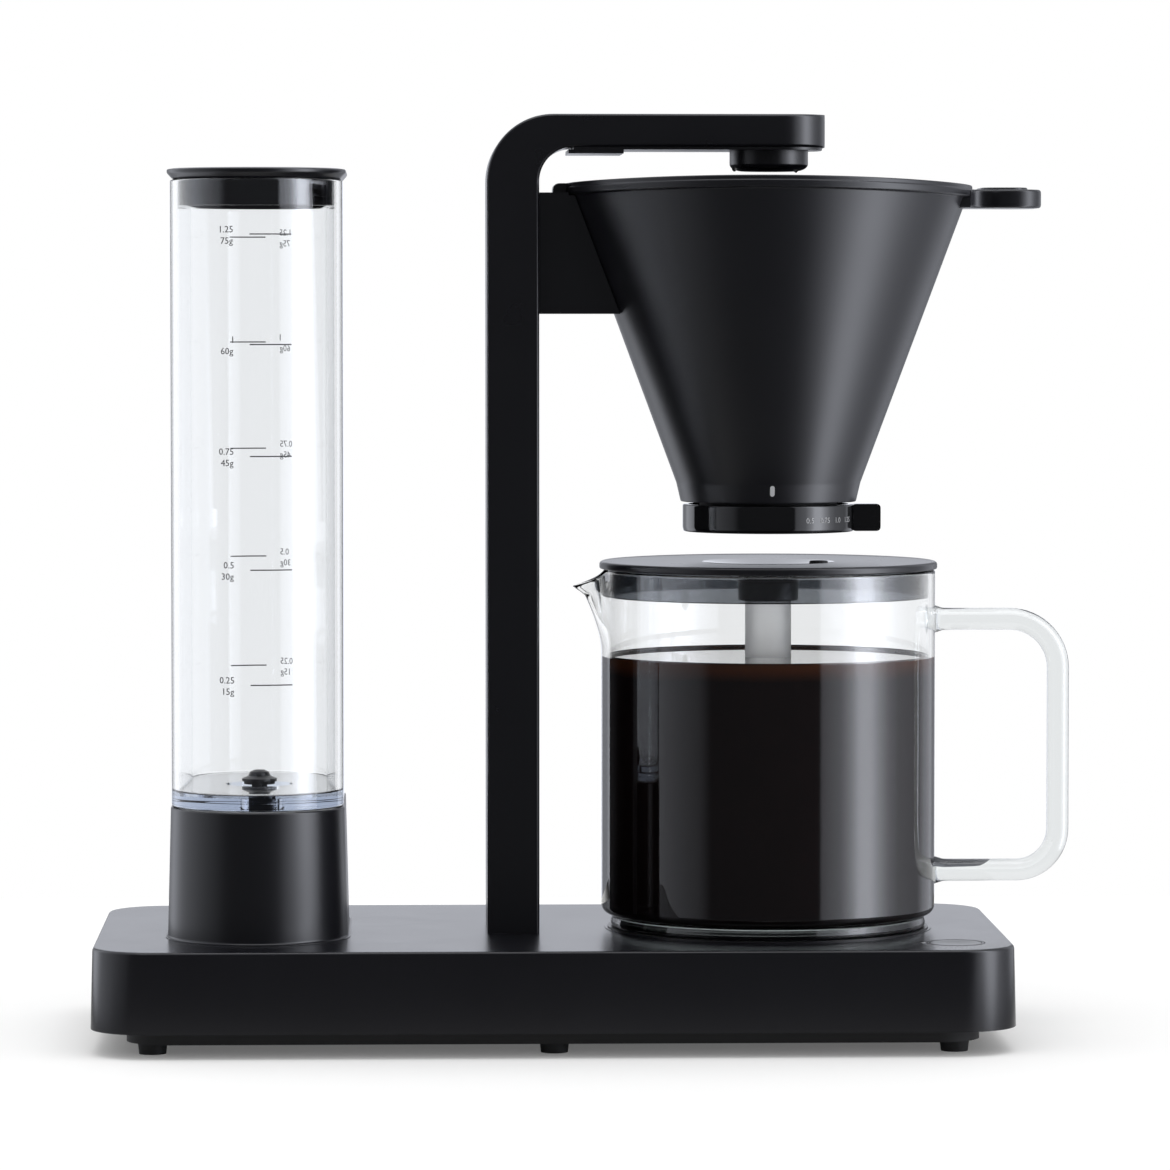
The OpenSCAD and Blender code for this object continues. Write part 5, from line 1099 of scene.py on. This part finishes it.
line = handle_path()
run = np.concatenate([[0], np.cumsum(np.linalg.norm(np.diff(line, axis=0), axis=1))])
from_end = np.minimum(run, run[-1] - run)
thick = ROD_R + 1.3 * np.exp(-((from_end / 2.2) ** 2))
make_piece("carafe_grip", swept_rod(line, thick), capped(len(line), ROD_POINTS), handle_glass,
           "carafe", ["carafe_handle"], smooth=60)

# %% [markdown]
# The coffee fills the carafe to about three quarters. It is a closed body that
# laps a tenth of a millimetre into the glass, because a film of air between
# them would mirror like silver where it is seen at a slant. It is almost
# opaque, and it moves with the carafe. Its top few millimetres, up to a thin
# edge where it climbs the wall, are a lighter warm brown: painted light, for
# the light that comes in through its surface.

# %% Coffee
LEVEL_Z = 142.5


def brew(name, low, high, ior):
    """Coffee: dark below, a lighter warm brown above by height that is painted light, and a slow
    cloudiness.
    """
    made, tree, shader, _ = new_finish(name, {"Roughness": 0.02, "IOR": ior})
    place = add(tree, "TexCoord")
    axes = add(tree, "SeparateXYZ")
    cloud = noise(tree, place, "Object", 30.0, 2.0)
    sway = add(tree, "Math", {1: 0.004}, operation="MULTIPLY_ADD")
    # painted light: by height the top few millimetres turn a lighter warm brown
    rise = add(tree, "MapRange", {1: (LEVEL_Z - 4.5) * MM, 2: (LEVEL_Z + 0.8) * MM})
    warm = add(tree, "Mix", {"A": low, "B": high}, data_type="RGBA")
    wire(tree, (place, "Object", axes, 0), (cloud, "Fac", sway, 0), (axes, "Z", sway, 2),
         (sway, 0, rise, 0), (rise, 0, warm, "Factor"), (warm, "Result", shader, "Base Color"))
    return made


# Coffee touches the glass, so its side mirrors almost nothing; its top mirrors the bright wall.
coffee = brew("coffee", (0.0078, 0.0042, 0.004, 1), (0.055, 0.017, 0.006, 1), 1.04)
# the surface's lighter warm brown is painted light as well
coffee_skin = brew("coffee_skin", (0.03, 0.011, 0.006, 1), (0.045, 0.017, 0.008, 1), 1.33)
COFFEE_R, coffee_low = inner_r + 0.12, BOTTOM_Z - 0.1
coffee_profile = np.concatenate([
    [(0, coffee_low)],
    fillet([(54, coffee_low), (COFFEE_R, coffee_low), (COFFEE_R, PLATE_Z + 20)], 3.2, steps=9),
    [(COFFEE_R, LEVEL_Z + 0.3), (COFFEE_R - 0.7, LEVEL_Z - 0.2), (0, LEVEL_Z - 0.2)]])
turned("brewed_coffee", coffee_profile, BREW_X, coffee, "carafe", "black_plastic", turns=192)
skin_profile = [
    (9.0, LEVEL_Z - 0.15), (inner_r - 2.6, LEVEL_Z - 0.15), (inner_r - 1.0, LEVEL_Z + 0.02),
    (inner_r - 0.3, LEVEL_Z + 0.4), (inner_r - 0.02, LEVEL_Z + 0.95),
    (inner_r - 0.02, LEVEL_Z - 0.19), (9.0, LEVEL_Z - 0.19)]
turned("coffee_surface", skin_profile, BREW_X, coffee_skin, "carafe", "black_plastic", closed=True,
       turns=192)

# %% [markdown]
# The carafe lid is a thin disc. Its middle is a polished shallow dish that
# leads the coffee to a hole, with a small vent beside it. A grey, see-through
# ring under it centres it in the glass, and a tube carries the coffee down so
# that it mixes. One profile could hold all of it; disc, dish and ring are turned
# apart because each has a finish of its own.

# %% Carafe lid, skirt and tube
lid_profile = fillet([
    (7.25, LID_Z - 9.0), (7.25, LID_Z - 2.4), (9.4, LID_Z - 0.6), (9.8, LID_Z + 0.7),
    (25.0, LID_Z + 2.55), (61.9, LID_Z + 2.6), (62.9, LID_Z + 3.0), (64.1, LID_Z + 2.3),
    (64.1, LID_Z), (25.0, LID_Z), (11.4, LID_Z - 5.0), (11.4, LID_Z - 12.0), (8.8, LID_Z - 12.0),
    (8.8, LID_Z - 9.0), (7.25, LID_Z - 9.0)], 0.7)
turned("lid_disc", lid_profile, BREW_X, satin_black, "carafe_lid", "black_plastic", ["carafe_lid"],
       turns=192)
dish_profile = [(9.9, LID_Z + 0.86), (24.9, LID_Z + 2.66), (25.3, LID_Z + 2.45),
                (9.9, LID_Z + 0.55)]
turned("lid_dish", dish_profile, BREW_X, gloss_black, "carafe_lid", "gloss_black", closed=True,
       turns=160)
# the vent is closed by a dark matt floor a little below its rim; that floor is painted shade for
# the dark inside of its opening
vent_profile = fillet([(0, LID_Z + 2.7), (1.9, LID_Z + 2.7), (2.3, LID_Z + 3.3), (3.4, LID_Z + 3.2),
                       (3.7, LID_Z + 1.8), (0, LID_Z + 1.8)], 0.3)
turned("lid_vent_with_painted_shade", vent_profile, BREW_X + 18.6, soft_black, "carafe_lid", "black_rubber", turns=48,
       axis_y=-9.0)
skirt_r, skirt_low, skirt_high = inner_r - 0.3, LID_Z - 10.6, LID_Z - 0.05
skirt_profile = fillet([
    (skirt_r - 1, skirt_high), (skirt_r, skirt_high), (skirt_r, skirt_low),
    (skirt_r - 2, skirt_low), (skirt_r - 2, skirt_high), (skirt_r - 1, skirt_high)], 0.4)
turned("lid_ring", skirt_profile, BREW_X, smoke, "carafe_lid", "smoke_grey", ["lid_skirt"],
       turns=192)
